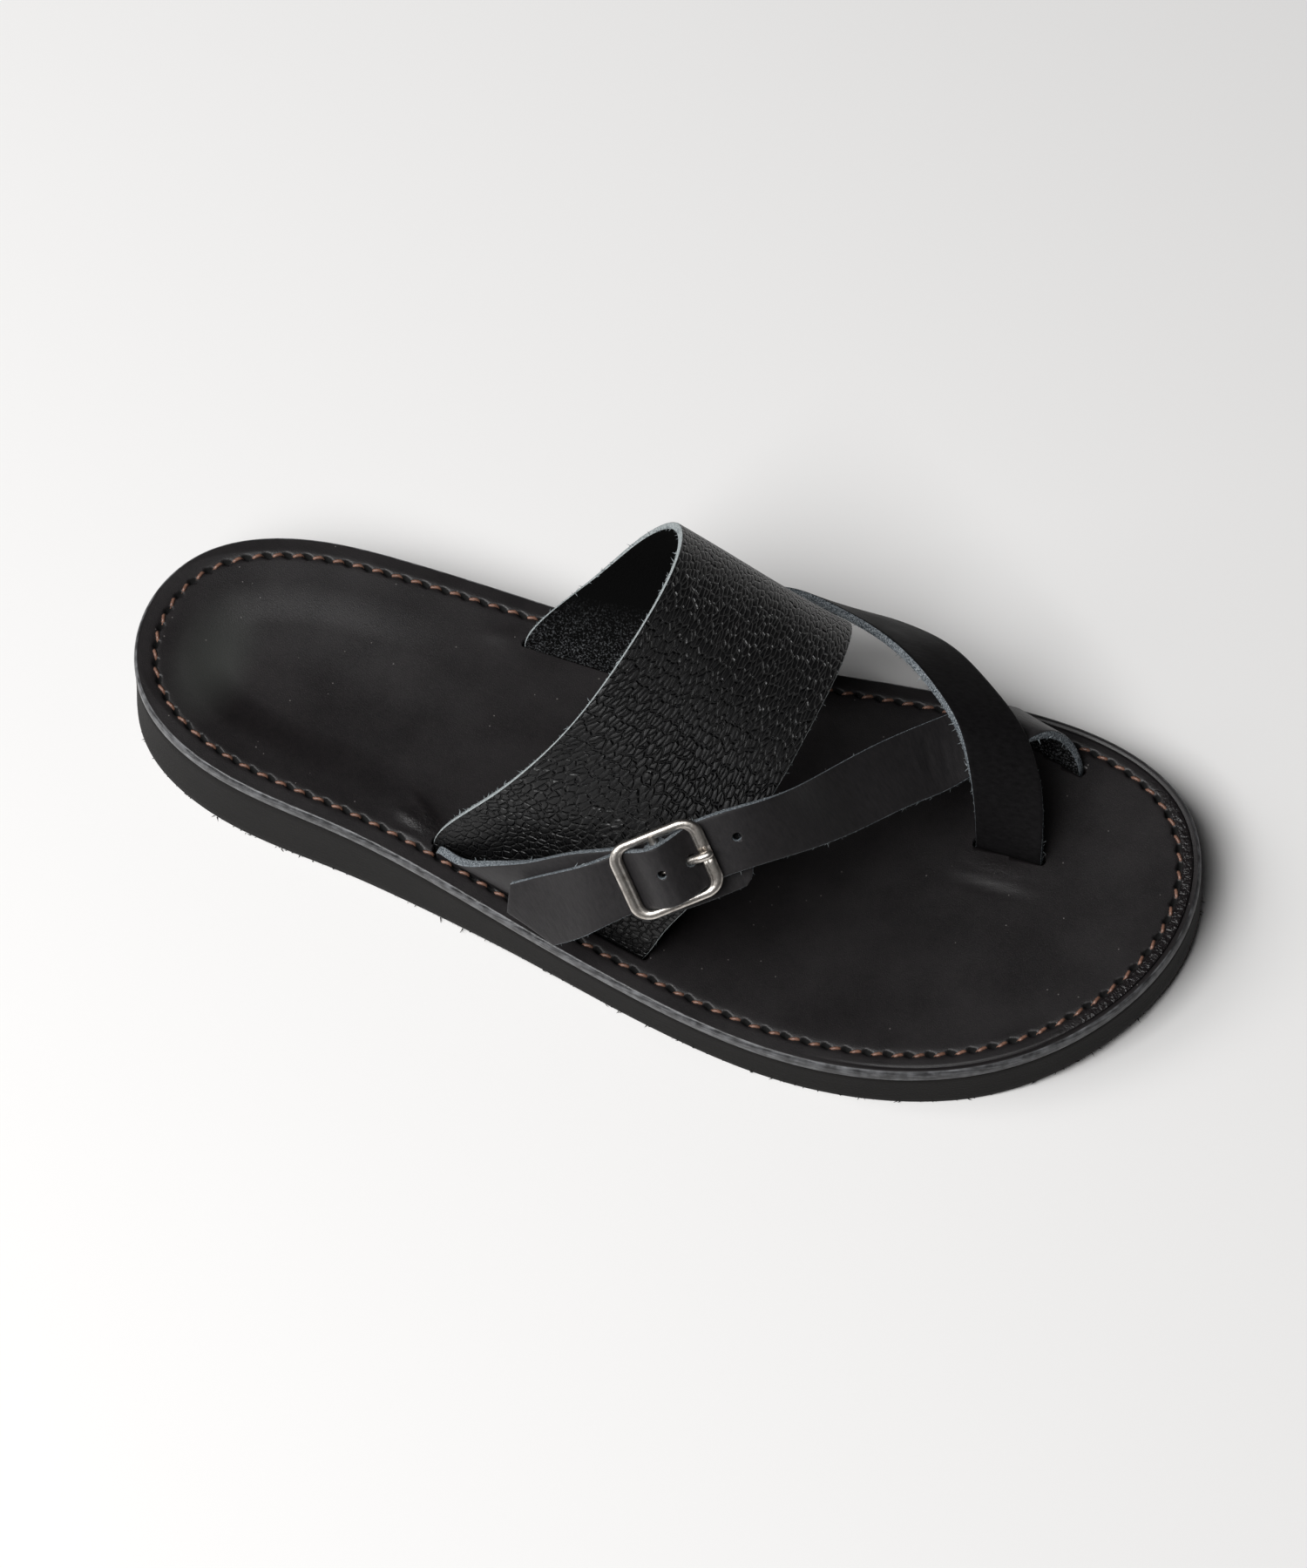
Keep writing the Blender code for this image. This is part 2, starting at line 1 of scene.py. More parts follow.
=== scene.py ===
"""Looks of a gurkha sandal for the right foot: band, straps, stitched footbed, wedge sole and buckle.

Sizes are in millimetres unless a comment says otherwise, and places are in the sandal's own plan:
+X toeward, +Y to the inner side of the foot, +Z up, the sole standing on z = 0. Every strap has a row
for each fold, with its heelward and its toeward edge there.
"""
import logging
import math
from collections.abc import Callable
from dataclasses import dataclass, field
from enum import Enum

import bmesh
import bpy
import numpy as np
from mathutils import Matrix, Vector
from mathutils.kdtree import KDTree


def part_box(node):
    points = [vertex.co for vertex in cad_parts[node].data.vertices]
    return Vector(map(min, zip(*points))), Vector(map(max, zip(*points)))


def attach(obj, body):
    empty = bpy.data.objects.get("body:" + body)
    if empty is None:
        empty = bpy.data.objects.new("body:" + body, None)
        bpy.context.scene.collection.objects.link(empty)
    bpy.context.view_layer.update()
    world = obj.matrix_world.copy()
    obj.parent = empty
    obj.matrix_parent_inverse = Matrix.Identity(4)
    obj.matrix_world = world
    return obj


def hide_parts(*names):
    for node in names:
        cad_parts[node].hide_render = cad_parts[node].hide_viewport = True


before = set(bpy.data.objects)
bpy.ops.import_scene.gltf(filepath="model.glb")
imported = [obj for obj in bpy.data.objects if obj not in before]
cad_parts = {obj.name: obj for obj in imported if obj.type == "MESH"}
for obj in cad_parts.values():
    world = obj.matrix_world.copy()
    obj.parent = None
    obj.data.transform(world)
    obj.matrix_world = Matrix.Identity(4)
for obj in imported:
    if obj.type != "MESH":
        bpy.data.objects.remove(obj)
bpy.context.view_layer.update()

Array = np.ndarray
Rows = tuple[tuple[float, ...], ...]
Faces = list[tuple[int, ...]]
Inputs = dict[str | int, object]
Node = bpy.types.Node
Piece = bpy.types.Object
Socket = bpy.types.NodeSocket
Tree = bpy.types.NodeTree
LOG = logging.getLogger("sandal")
MM = 0.001


class Facing(Enum):
    """Side of a strap's sheet that its grain is on, as the sign of the sheet's own normal."""

    LEFT_OF_RUN = 1
    RIGHT_OF_RUN = -1


class Slot(Enum):
    """Slots of the footbed that leather goes through."""

    OUTER = "outer"
    INNER = "inner"
    BETWEEN_TOES = "between toes"
    BIG_TOE_SIDE = "big toe side"


# Curves, meshes and nodes


def cubic(knots: Array, values: Array, places: Array) -> Array:
    """Read a natural cubic curve.

    Args:
        knots: Rising places of the rows.
        values: One row of numbers per knot.
        places: Where the curve is read.

    Returns:
        One row of numbers per place.
    """
    knots, values = np.asarray(knots, float), np.asarray(values, float)
    steps = np.diff(knots)
    system = np.eye(len(knots))
    loads = np.zeros_like(values)
    for i in range(1, len(knots) - 1):
        system[i, i - 1:i + 2] = steps[i - 1], 2 * (steps[i - 1] + steps[i]), steps[i]
        loads[i] = 6 * ((values[i + 1] - values[i]) / steps[i] - (values[i] - values[i - 1]) / steps[i - 1])
    bends = np.linalg.solve(system, loads)
    i = np.clip(np.searchsorted(knots, places, side="right") - 1, 0, len(knots) - 2)
    h = steps[i][:, None]
    a = (knots[i + 1] - places)[:, None]
    b = (places - knots[i])[:, None]
    curved = (bends[i] * a ** 3 + bends[i + 1] * b ** 3) / (6 * h)
    return curved + (values[i] / h - bends[i] * h / 6) * a + (values[i + 1] / h - bends[i + 1] * h / 6) * b


def travelled(points: Array) -> Array:
    """Length travelled along a chain of points up to each of them."""
    return np.concatenate([[0.0], np.cumsum(np.linalg.norm(np.diff(points, axis=0), axis=1))])


def smooth_step(low: float, high: float, value: Array) -> Array:
    """Rise softly from 0 at low to 1 at high."""
    share = np.clip((value - low) / (high - low), 0.0, 1.0)
    return share * share * (3 - 2 * share)


def full_turn(count: int) -> list[float]:
    """Angles of even steps round a circle."""
    return [2 * math.pi * k / count for k in range(count)]


def tube_faces(rings: int, sides: int, closed: bool = False, first: int = 0) -> Faces:
    """Work out the faces of a tube.

    Args:
        rings: Number of its rings of points.
        sides: Points of each ring.
        closed: Whether the last ring meets the first one; otherwise the tube gets flat ends.
        first: Number of the tube's first point.

    Returns:
        Corner numbers of each face.
    """
    faces = []
    if not closed:
        last = first + (rings - 1) * sides
        faces += [tuple(range(first, first + sides)), tuple(range(last, last + sides))]
    for i in range(rings if closed else rings - 1):
        low, high = first + i * sides, first + (i + 1) % rings * sides
        for k in range(sides):
            after = (k + 1) % sides
            faces.append((low + k, low + after, high + after, high + k))
    return faces


def linear(code: str) -> tuple[float, float, float, float]:
    """Turn an sRGB hex colour into linear light.

    Args:
        code: Colour as a hash sign and six hex digits.

    Returns:
        Red, green, blue and alpha.
    """
    parts = [int(code[i:i + 2], 16) / 255 for i in (1, 3, 5)]
    red, green, blue = (p / 12.92 if p <= 0.04045 else ((p + 0.055) / 1.055) ** 2.4 for p in parts)
    return red, green, blue, 1.0


def feed(tree: Tree, node: Node, inputs: Inputs) -> None:
    """Set or link inputs of a node.

    Args:
        tree: Tree that the node is in.
        node: The node.
        inputs: Socket name or number to a value, a socket, or a node whose first output is meant.
    """
    for key, value in inputs.items():
        source = value.outputs[0] if isinstance(value, Node) else value
        if isinstance(source, Socket):
            tree.links.new(source, node.inputs[key])
        else:
            node.inputs[key].default_value = source


def add_node(tree: Tree, kind: str, inputs: Inputs | None = None, **settings: object) -> Node:
    """Add a node to a tree.

    Args:
        tree: Shader or geometry tree.
        kind: Blender's name of the node's type.
        inputs: What feed() gives the node.
        **settings: Properties of the node.

    Returns:
        The new node.
    """
    made = tree.nodes.new(kind)
    for key, value in settings.items():
        setattr(made, key, value)
    feed(tree, made, inputs or {})
    return made


def add_object(name: str, data: bpy.types.ID) -> Piece:
    """Put a new object in the scene.

    Args:
        name: Its name.
        data: Its mesh, curve, light or camera.

    Returns:
        The object, at the origin.
    """
    made = bpy.data.objects.new(name, data)
    bpy.context.scene.collection.objects.link(made)
    return made


def plain_mesh(made: Piece) -> bpy.types.Mesh:
    """Copy the mesh that an object has after its modifiers."""
    graph = bpy.context.evaluated_depsgraph_get()
    return bpy.data.meshes.new_from_object(made.evaluated_get(graph))


def cut(made: Piece, cutter: Piece) -> None:
    """Cut one closed mesh out of another and remove the cutter.

    Args:
        made: The piece that is cut.
        cutter: The form that is taken away.
    """
    modifier = made.modifiers.new("cut", "BOOLEAN")
    modifier.operation = "DIFFERENCE"
    modifier.solver = "EXACT"
    modifier.object = cutter
    mesh = plain_mesh(made)
    made.modifiers.clear()
    made.data = mesh
    mesh.name = made.name
    bpy.data.objects.remove(cutter, do_unlink=True)


def count_triangles(made: Piece) -> int:
    """Number of triangles of a piece."""
    return sum(len(p.vertices) - 2 for p in made.data.polygons)


# Finishes


@dataclass(frozen=True)
class Finish:
    """A material made from nodes, to which each kind of finish adds its own pattern."""

    name: str
    colour: str
    roughness: float
    specular: float = 0.5

    def material(self) -> bpy.types.Material:
        """Make the material on first use.

        Returns:
            The finish's material.
        """
        made = bpy.data.materials.get(self.name)
        if made is None:
            made = bpy.data.materials.new(self.name)
            made.use_nodes = True
            shader = made.node_tree.nodes["Principled BSDF"]
            feed(made.node_tree, shader, {
                "Base Color": linear(self.colour), "Roughness": self.roughness,
                "Specular IOR Level": self.specular})
            self.dress(made.node_tree, shader)
        return made

    def dress(self, tree: Tree, shader: Node) -> None:
        """Add the finish's pattern, which a plain finish doesn't have.

        Args:
            tree: Tree of the material.
            shader: Its shader, which the pattern feeds.
        """


@dataclass(frozen=True)
class PebbledLeather(Finish):
    """Drum-tumbled full-grain leather: dull flat pebbles, drawn long over the instep, with shiny flanks."""

    specular: float = 0.42
    pebble: float = 1.8
    stretch: float = 0.62  # scale of the pattern along the band
    rounder: float = 0.22  # added to that scale where the band isn't pulled yet
    pulled: tuple[float, float] = (40.0, 82.0)  # where along the band its pull starts and is full
    pulled_middle: float = 27.0  # place across the band that it is pulled towards
    narrower: float = 1.65  # how many times as narrow the pull makes a pebble
    scatter: float = 0.85
    wander: tuple[float, float] = (1.7, 0.8)  # pitch and reach of the pebbles' crooked shift, in pebbles
    groove: float = 0.20  # reach of the groove from its middle, in pebbles
    dome: float = -0.30  # fall from a pebble's middle to its rim, as a share of the depth
    depth: float = 0.43
    pore: float = 0.35
    pore_height: float = 0.18  # as a share of the depth
    wrinkle: float = 1.1
    wrinkle_stretch: float = 0.16
    wrinkled: tuple[float, float, float] = (15.0, 5.0, 15.0)  # along, across, reach of the bend at the slot
    wrinkled_core: float = 0.35  # share of that reach that is fully wrinkled
    wrinkled_most: float = 0.75
    bottom: tuple[float, float] = (0.4, 0.95)  # reach in grooves and roughness of the groove's bottom
    flank_gloss: float = 0.16
    crown: tuple[float, float, float] = (0.6, 1.3, 0.30)  # start and end in grooves, added roughness

    def dress(self, tree: Tree, shader: Node) -> None:
        """Lay pebbles on the flat hide, in its UV map in metres, and wrinkles where it bends into the slot.

        Args:
            tree: Tree of the material.
            shader: Its shader.
        """
        flat = add_node(tree, "ShaderNodeTexCoord").outputs["UV"]
        place = add_node(tree, "ShaderNodeSeparateXYZ", {0: flat}).outputs
        start, end = (size * MM for size in self.pulled)
        pull = add_node(tree, "ShaderNodeMapRange", {
            "Value": place["X"], "From Min": start, "From Max": end, "To Min": 1.0, "To Max": self.narrower},
            interpolation_type="SMOOTHSTEP")
        aside = add_node(tree, "ShaderNodeMath", {
            0: place["Y"], 1: self.pulled_middle * MM}, operation="SUBTRACT")
        narrow = add_node(tree, "ShaderNodeMath", {0: aside, 1: pull}, operation="MULTIPLY")
        below = add_node(tree, "ShaderNodeMath", {0: place["X"], 1: start}, operation="MINIMUM")
        rounded = add_node(tree, "ShaderNodeMath", {0: below, 1: self.rounder}, operation="MULTIPLY")
        long = add_node(tree, "ShaderNodeMath", {
            0: place["X"], 1: self.stretch, 2: rounded}, operation="MULTIPLY_ADD")
        drawn = add_node(tree, "ShaderNodeCombineXYZ", {"X": long, "Y": narrow})
        pitch, reach = (size * self.pebble * MM for size in self.wander)
        wander = add_node(tree, "ShaderNodeTexNoise", {"Vector": flat, "Scale": 1 / pitch, "Detail": 2.0})
        centred = add_node(tree, "ShaderNodeVectorMath", {
            0: wander.outputs["Color"], 1: (0.5, 0.5, 0.5)}, operation="SUBTRACT")
        shift = add_node(tree, "ShaderNodeVectorMath", {0: centred, "Scale": reach}, operation="SCALE")
        crooked = add_node(tree, "ShaderNodeVectorMath", {0: drawn, 1: shift}, operation="ADD")
        cell = {"Vector": crooked, "Scale": 1 / (self.pebble * MM), "Randomness": self.scatter}
        seams = add_node(tree, "ShaderNodeTexVoronoi", cell,
                         voronoi_dimensions="2D", feature="DISTANCE_TO_EDGE")
        domes = add_node(tree, "ShaderNodeTexVoronoi", cell, voronoi_dimensions="2D")
        flank = add_node(tree, "ShaderNodeMapRange", {
            "Value": seams, "From Max": self.groove}, interpolation_type="SMOOTHSTEP")
        crown = add_node(tree, "ShaderNodeMath", {0: domes, 1: self.dome, 2: flank}, operation="MULTIPLY_ADD")
        pores = add_node(tree, "ShaderNodeTexNoise", {
            "Vector": flat, "Scale": 1 / (self.pore * MM), "Detail": 2.0})
        pebbles = add_node(tree, "ShaderNodeMath", {
            0: pores, 1: self.pore_height, 2: crown}, operation="MULTIPLY_ADD")
        across = add_node(tree, "ShaderNodeMapping", {
            "Vector": flat, "Scale": (1.0, self.wrinkle_stretch, 1.0)})
        lines = add_node(tree, "ShaderNodeTexNoise", {
            "Vector": across, "Scale": 1 / (self.wrinkle * MM), "Detail": 3.0})
        x, y, reach = (size * MM for size in self.wrinkled)
        away = add_node(tree, "ShaderNodeVectorMath", {0: flat, 1: (x, y, 0.0)}, operation="DISTANCE")
        bend = add_node(tree, "ShaderNodeMapRange", {
            "Value": away.outputs["Value"], "From Min": self.wrinkled_core * reach, "From Max": reach,
            "To Min": self.wrinkled_most, "To Max": 0.0}, interpolation_type="SMOOTHSTEP")
        height = add_node(tree, "ShaderNodeMix", {"Factor": bend, 2: pebbles, 3: lines})
        bump = add_node(tree, "ShaderNodeBump", {
            "Height": height, "Distance": self.depth * MM, "Strength": 1.0})
        bottom_end, bottom_roughness = self.bottom
        deep = add_node(tree, "ShaderNodeMapRange", {
            "Value": seams, "From Max": bottom_end * self.groove,
            "To Min": bottom_roughness, "To Max": self.roughness - self.flank_gloss})
        crown_start, crown_end, crown_dull = self.crown
        dull = add_node(tree, "ShaderNodeMapRange", {
            "Value": seams, "From Min": crown_start * self.groove, "From Max": crown_end * self.groove,
            "To Max": crown_dull})
        gloss = add_node(tree, "ShaderNodeMath", {0: deep, 1: dull})
        feed(tree, shader, {"Normal": bump, "Roughness": gloss})


@dataclass(frozen=True)
class SmoothLeather(Finish):
    """Vegetable-tanned strap leather, rolled smooth and oiled: a low even sheen over fine pores."""

    specular: float = 0.2
    pore: float = 0.28
    mark: float = 0.9
    mark_stretch: float = 0.35
    mark_height: float = 1.4  # in heights of a pore
    patch: float = 14.0
    depth: float = 0.08
    gloss_span: tuple[float, float] = (-0.07, 0.09)
    mottle: tuple[float, float] = (0.75, 1.65)  # heights of the relief between which the dye wears off
    worn: str = "#302e2f"

    def dress(self, tree: Tree, shader: Node) -> None:
        """Add pores, faint stretch marks across the strap and patches that are a little more worn.

        Args:
            tree: Tree of the material.
            shader: Its shader.
        """
        flat = add_node(tree, "ShaderNodeTexCoord").outputs["UV"]
        pores = add_node(tree, "ShaderNodeTexNoise", {
            "Vector": flat, "Scale": 1 / (self.pore * MM), "Detail": 3.0, "Roughness": 0.6})
        drawn = add_node(tree, "ShaderNodeMapping", {"Vector": flat, "Scale": (1.0, self.mark_stretch, 1.0)})
        marks = add_node(tree, "ShaderNodeTexNoise", {
            "Vector": drawn, "Scale": 1 / (self.mark * MM), "Detail": 4.0})
        height = add_node(tree, "ShaderNodeMath", {
            0: marks, 1: self.mark_height, 2: pores}, operation="MULTIPLY_ADD")
        bump = add_node(tree, "ShaderNodeBump", {
            "Height": height, "Distance": self.depth * MM, "Strength": 0.7})
        patches = add_node(tree, "ShaderNodeTexNoise", {
            "Vector": flat, "Scale": 1 / (self.patch * MM), "Detail": 4.0})
        glossy, dull = (self.roughness + change for change in self.gloss_span)
        gloss = add_node(tree, "ShaderNodeMapRange", {
            "Value": patches, "From Min": 0.3, "From Max": 0.7, "To Min": glossy, "To Max": dull})
        mottled = add_node(tree, "ShaderNodeMapRange", {
            "Value": height, "From Min": self.mottle[0], "From Max": self.mottle[1]})
        tone = add_node(tree, "ShaderNodeMix", {
            "Factor": mottled, 6: linear(self.colour), 7: linear(self.worn)}, data_type="RGBA")
        feed(tree, shader, {"Normal": bump, "Roughness": gloss, "Base Color": tone.outputs[2]})


@dataclass(frozen=True)
class RawLeather(Finish):
    """Cut edge or flesh side of dyed leather: short matted fibres that scatter light evenly."""

    specular: float = 0.1
    fibre: float = 0.35
    pale: str = "#8f99a0"
    depth: float = 0.25
    lit: tuple[float, float] = (0.40, 0.72)  # fibre heights between which the tips turn pale
    # Painted shade: between these heights the pale tips fade out, so parts higher up stay dark; the default
    # lies above the sandal.
    shaded_above: tuple[float, float] = (400.0, 500.0)  # heights where the pale tips end, above the sandal

    def dress(self, tree: Tree, shader: Node) -> None:
        """Add fibres as noise on Object coordinates, with paler tips up to a height, above which painted
        shade darkens them.

        Args:
            tree: Tree of the material.
            shader: Its shader.
        """
        place = add_node(tree, "ShaderNodeTexCoord").outputs["Object"]
        fibres = add_node(tree, "ShaderNodeTexNoise", {
            "Vector": place, "Scale": 1 / (self.fibre * MM), "Detail": 4.0, "Roughness": 0.7})
        lit = add_node(tree, "ShaderNodeMapRange", {
            "Value": fibres, "From Min": self.lit[0], "From Max": self.lit[1]})
        height = add_node(tree, "ShaderNodeSeparateXYZ", {0: place}).outputs["Z"]
        # Painted shade: the pale tips fade out between these heights.
        start, end = (size * MM for size in self.shaded_above)
        below = add_node(tree, "ShaderNodeMapRange", {
            "Value": height, "From Min": start, "From Max": end, "To Min": 1.0, "To Max": 0.0})
        tips = add_node(tree, "ShaderNodeMath", {0: lit, 1: below}, operation="MULTIPLY")
        tone = add_node(tree, "ShaderNodeMix", {
            "Factor": tips, 6: linear(self.colour), 7: linear(self.pale)}, data_type="RGBA")
        bump = add_node(tree, "ShaderNodeBump", {
            "Height": fibres, "Distance": self.depth * MM, "Strength": 1.0})
        feed(tree, shader, {"Base Color": tone.outputs[2], "Normal": bump})


@dataclass(frozen=True)
class FootbedLeather(Finish):
    """Waxed sole leather: near black with a brown cast, a soft sheen, dust, crinkles at the toe's rim and a
    painted sheen on the heel.
    """

    specular: float = 0.55
    pore: float = 0.30
    grain: float = 1.4
    grain_share: float = 1.6  # weight of the grain against the wax patches in the tone
    patch: float = 18.1818
    depth: float = 0.09
    waxed: str = "#201c1d"
    waxed_span: tuple[float, float] = (0.9, 1.8)
    gloss_span: tuple[float, float] = (-0.06, 0.08)
    crinkle: float = 1.2
    crinkle_rise: float = 8.0  # in heights of a pore
    crinkle_gloss: float = -0.18
    # Painted shade: the awl holes are coloured black, and made duller, from near their rim inward.
    hole_shade: str = "#010101"
    hole_shade_span: tuple[float, float] = (0.04, 0.2)  # shares of an awl hole's depth from rim to black
    hole_dull: float = 0.5
    dust: str = "#6a6664"
    dust_pitch: float = 2.5
    dust_size: float = 0.07  # in pitches
    dust_left_out: float = 0.75  # share of the places that stay clean
    # Painted reflection: a pale patch on the heel cup's rear slope, its colour and then its place
    rubbed_and_sheen: str = "#383937"
    heel_sheen_place: tuple[float, float, float, float] = (-112.0, -5.5, 13.0, 24.0)  # along, across, reach of each

    def dress(self, tree: Tree, shader: Node) -> None:
        """Add pores and wax patches all over, crinkles and awl holes where the mesh's attributes say, painted
        shade in the holes and a painted sheen on the heel.

        Args:
            tree: Tree of the material.
            shader: Its shader.
        """
        place = add_node(tree, "ShaderNodeTexCoord").outputs["Object"]
        rim = add_node(tree, "ShaderNodeAttribute", attribute_name="crinkle").outputs["Fac"]
        awl = add_node(tree, "ShaderNodeAttribute", attribute_name="awl").outputs["Fac"]
        pores = add_node(tree, "ShaderNodeTexNoise", {
            "Vector": place, "Scale": 1 / (self.pore * MM), "Detail": 4.0, "Roughness": 0.65})
        folds = add_node(tree, "ShaderNodeTexNoise", {
            "Vector": place, "Scale": 1 / (self.crinkle * MM), "Detail": 2.0, "Distortion": 0.6})
        crinkles = add_node(tree, "ShaderNodeMath", {0: folds, 1: rim}, operation="MULTIPLY")
        height = add_node(tree, "ShaderNodeMath", {
            0: crinkles, 1: self.crinkle_rise, 2: pores}, operation="MULTIPLY_ADD")
        bump = add_node(tree, "ShaderNodeBump", {
            "Height": height, "Distance": self.depth * MM, "Strength": 0.8})
        patches = add_node(tree, "ShaderNodeTexNoise", {
            "Vector": place, "Scale": 1 / (self.patch * MM), "Detail": 5.0})
        glossy, dull = (self.roughness + change for change in self.gloss_span)
        sheen = add_node(tree, "ShaderNodeMapRange", {
            "Value": patches, "From Min": 0.3, "From Max": 0.7, "To Min": glossy, "To Max": dull})
        polish = add_node(tree, "ShaderNodeMath", {
            0: rim, 1: self.crinkle_gloss, 2: sheen}, operation="MULTIPLY_ADD")
        # Painted shade in the awl holes: black from a small share of their depth on.
        inside = add_node(tree, "ShaderNodeMapRange", {
            "Value": awl, "From Min": self.hole_shade_span[0], "From Max": self.hole_shade_span[1]})
        dulled = add_node(tree, "ShaderNodeMath", {
            0: inside, 1: self.hole_dull, 2: polish}, operation="MULTIPLY_ADD")
        specks = add_node(tree, "ShaderNodeTexVoronoi", {
            "Vector": place, "Scale": 1 / (self.dust_pitch * MM)})
        dots = add_node(tree, "ShaderNodeMath", {0: specks, 1: self.dust_size}, operation="LESS_THAN")
        draw = add_node(tree, "ShaderNodeSeparateColor", {"Color": specks.outputs["Color"]})
        chosen = add_node(tree, "ShaderNodeMath", {0: draw, 1: self.dust_left_out}, operation="GREATER_THAN")
        dust = add_node(tree, "ShaderNodeMath", {0: dots, 1: chosen}, operation="MULTIPLY")
        grain = add_node(tree, "ShaderNodeTexNoise", {
            "Vector": place, "Scale": 1 / (self.grain * MM), "Detail": 4.0, "Roughness": 0.7})
        uneven = add_node(tree, "ShaderNodeMath", {
            0: grain, 1: self.grain_share, 2: patches}, operation="MULTIPLY_ADD")
        share = add_node(tree, "ShaderNodeMapRange", {
            "Value": uneven, "From Min": self.waxed_span[0], "From Max": self.waxed_span[1]})
        # Painted sheen: a soft pale patch on the heel cup's rear slope, standing in for the light reflected
        # there.
        x, y, along, across = self.heel_sheen_place
        centred = add_node(tree, "ShaderNodeMapping", {
            "Vector": place, "Location": (-x / along, -y / across, 0.0),
            "Scale": (1 / (along * MM), 1 / (across * MM), 0.0)})
        away = add_node(tree, "ShaderNodeVectorMath", {0: centred}, operation="LENGTH")
        heel_sheen = add_node(tree, "ShaderNodeMapRange", {
            "Value": away.outputs["Value"], "To Min": 1.0, "To Max": 0.0}, interpolation_type="SMOOTHSTEP")
        # Tone: wax patches, the painted heel sheen, dust, then the awl holes' painted shade.
        tone = linear(self.colour)
        for factor, code in ((share, self.waxed), (heel_sheen, self.rubbed_and_sheen), (dust, self.dust), (inside, self.hole_shade)):
            tone = add_node(tree, "ShaderNodeMix", {
                "Factor": factor, 6: tone, 7: linear(code)}, data_type="RGBA").outputs[2]
        feed(tree, shader, {"Normal": bump, "Roughness": dulled, "Base Color": tone})


@dataclass(frozen=True)
class BurnishedEdge(Finish):
    """Leather edge that was painted and rubbed with wax: glossy, with fine streaks along the sole, paler
    partly from worn dye and partly as a painted highlight.
    """

    streak: float = 0.34
    streak_stretch: float = 0.05
    wear: float = 2.5
    depth: float = 0.16
    # Pale colour of the streaks: dye rubbed off, and partly a painted highlight.
    rubbed_and_sheen: str = "#77787b"
    rubbed_and_sheen_span: tuple[float, float] = (0.17, 0.42)
    gloss_span: tuple[float, float] = (-0.08, 0.12)
    toe: tuple[float, float] = (30.0, 100.0)  # where along the sandal the edge turns to its finish at the toe
    toe_dull: float = 0.26
    # How much of the pale streaks, and so of the painted highlight, the toe loses.
    toe_rubbed_and_sheen: float = -0.30

    def dress(self, tree: Tree, shader: Node) -> None:
        """Add streaks that run level round the edge, paler where the dye is rubbed off and where a highlight
        is painted, duller and less pale at the toe.

        Args:
            tree: Tree of the material.
            shader: Its shader.
        """
        place = add_node(tree, "ShaderNodeTexCoord").outputs["Object"]
        level = add_node(tree, "ShaderNodeMapping", {
            "Vector": place, "Scale": (self.streak_stretch, self.streak_stretch, 1.0)})
        streaks = add_node(tree, "ShaderNodeTexNoise", {
            "Vector": level, "Scale": 1 / (self.streak * MM), "Detail": 3.0})
        wear = add_node(tree, "ShaderNodeTexNoise", {
            "Vector": place, "Scale": 1 / (self.wear * MM), "Detail": 5.0})
        # Where the streaks turn pale: worn dye, and partly a painted highlight.
        worn = add_node(tree, "ShaderNodeMath", {0: streaks, 1: wear}, operation="MULTIPLY")
        share = add_node(tree, "ShaderNodeMapRange", {
            "Value": worn, "From Min": self.rubbed_and_sheen_span[0], "From Max": self.rubbed_and_sheen_span[1]})
        along = add_node(tree, "ShaderNodeSeparateXYZ", {0: place}).outputs["X"]
        start, end = (size * MM for size in self.toe)
        toeward = add_node(tree, "ShaderNodeMapRange", {"Value": along, "From Min": start, "From Max": end})
        kept = add_node(tree, "ShaderNodeMath", {
            0: toeward, 1: self.toe_rubbed_and_sheen, 2: 1.0}, operation="MULTIPLY_ADD")
        pale = add_node(tree, "ShaderNodeMath", {0: share, 1: kept}, operation="MULTIPLY")
        tone = add_node(tree, "ShaderNodeMix", {
            "Factor": pale, 6: linear(self.colour), 7: linear(self.rubbed_and_sheen)}, data_type="RGBA")
        bump = add_node(tree, "ShaderNodeBump", {
            "Height": streaks, "Distance": self.depth * MM, "Strength": 0.8})
        glossy, dull = (self.roughness + change for change in self.gloss_span)
        gloss = add_node(tree, "ShaderNodeMapRange", {"Value": streaks, "To Min": glossy, "To Max": dull})
        dulled = add_node(tree, "ShaderNodeMath", {
            0: toeward, 1: self.toe_dull, 2: gloss}, operation="MULTIPLY_ADD")
        feed(tree, shader, {"Normal": bump, "Roughness": dulled, "Base Color": tone.outputs[2]})


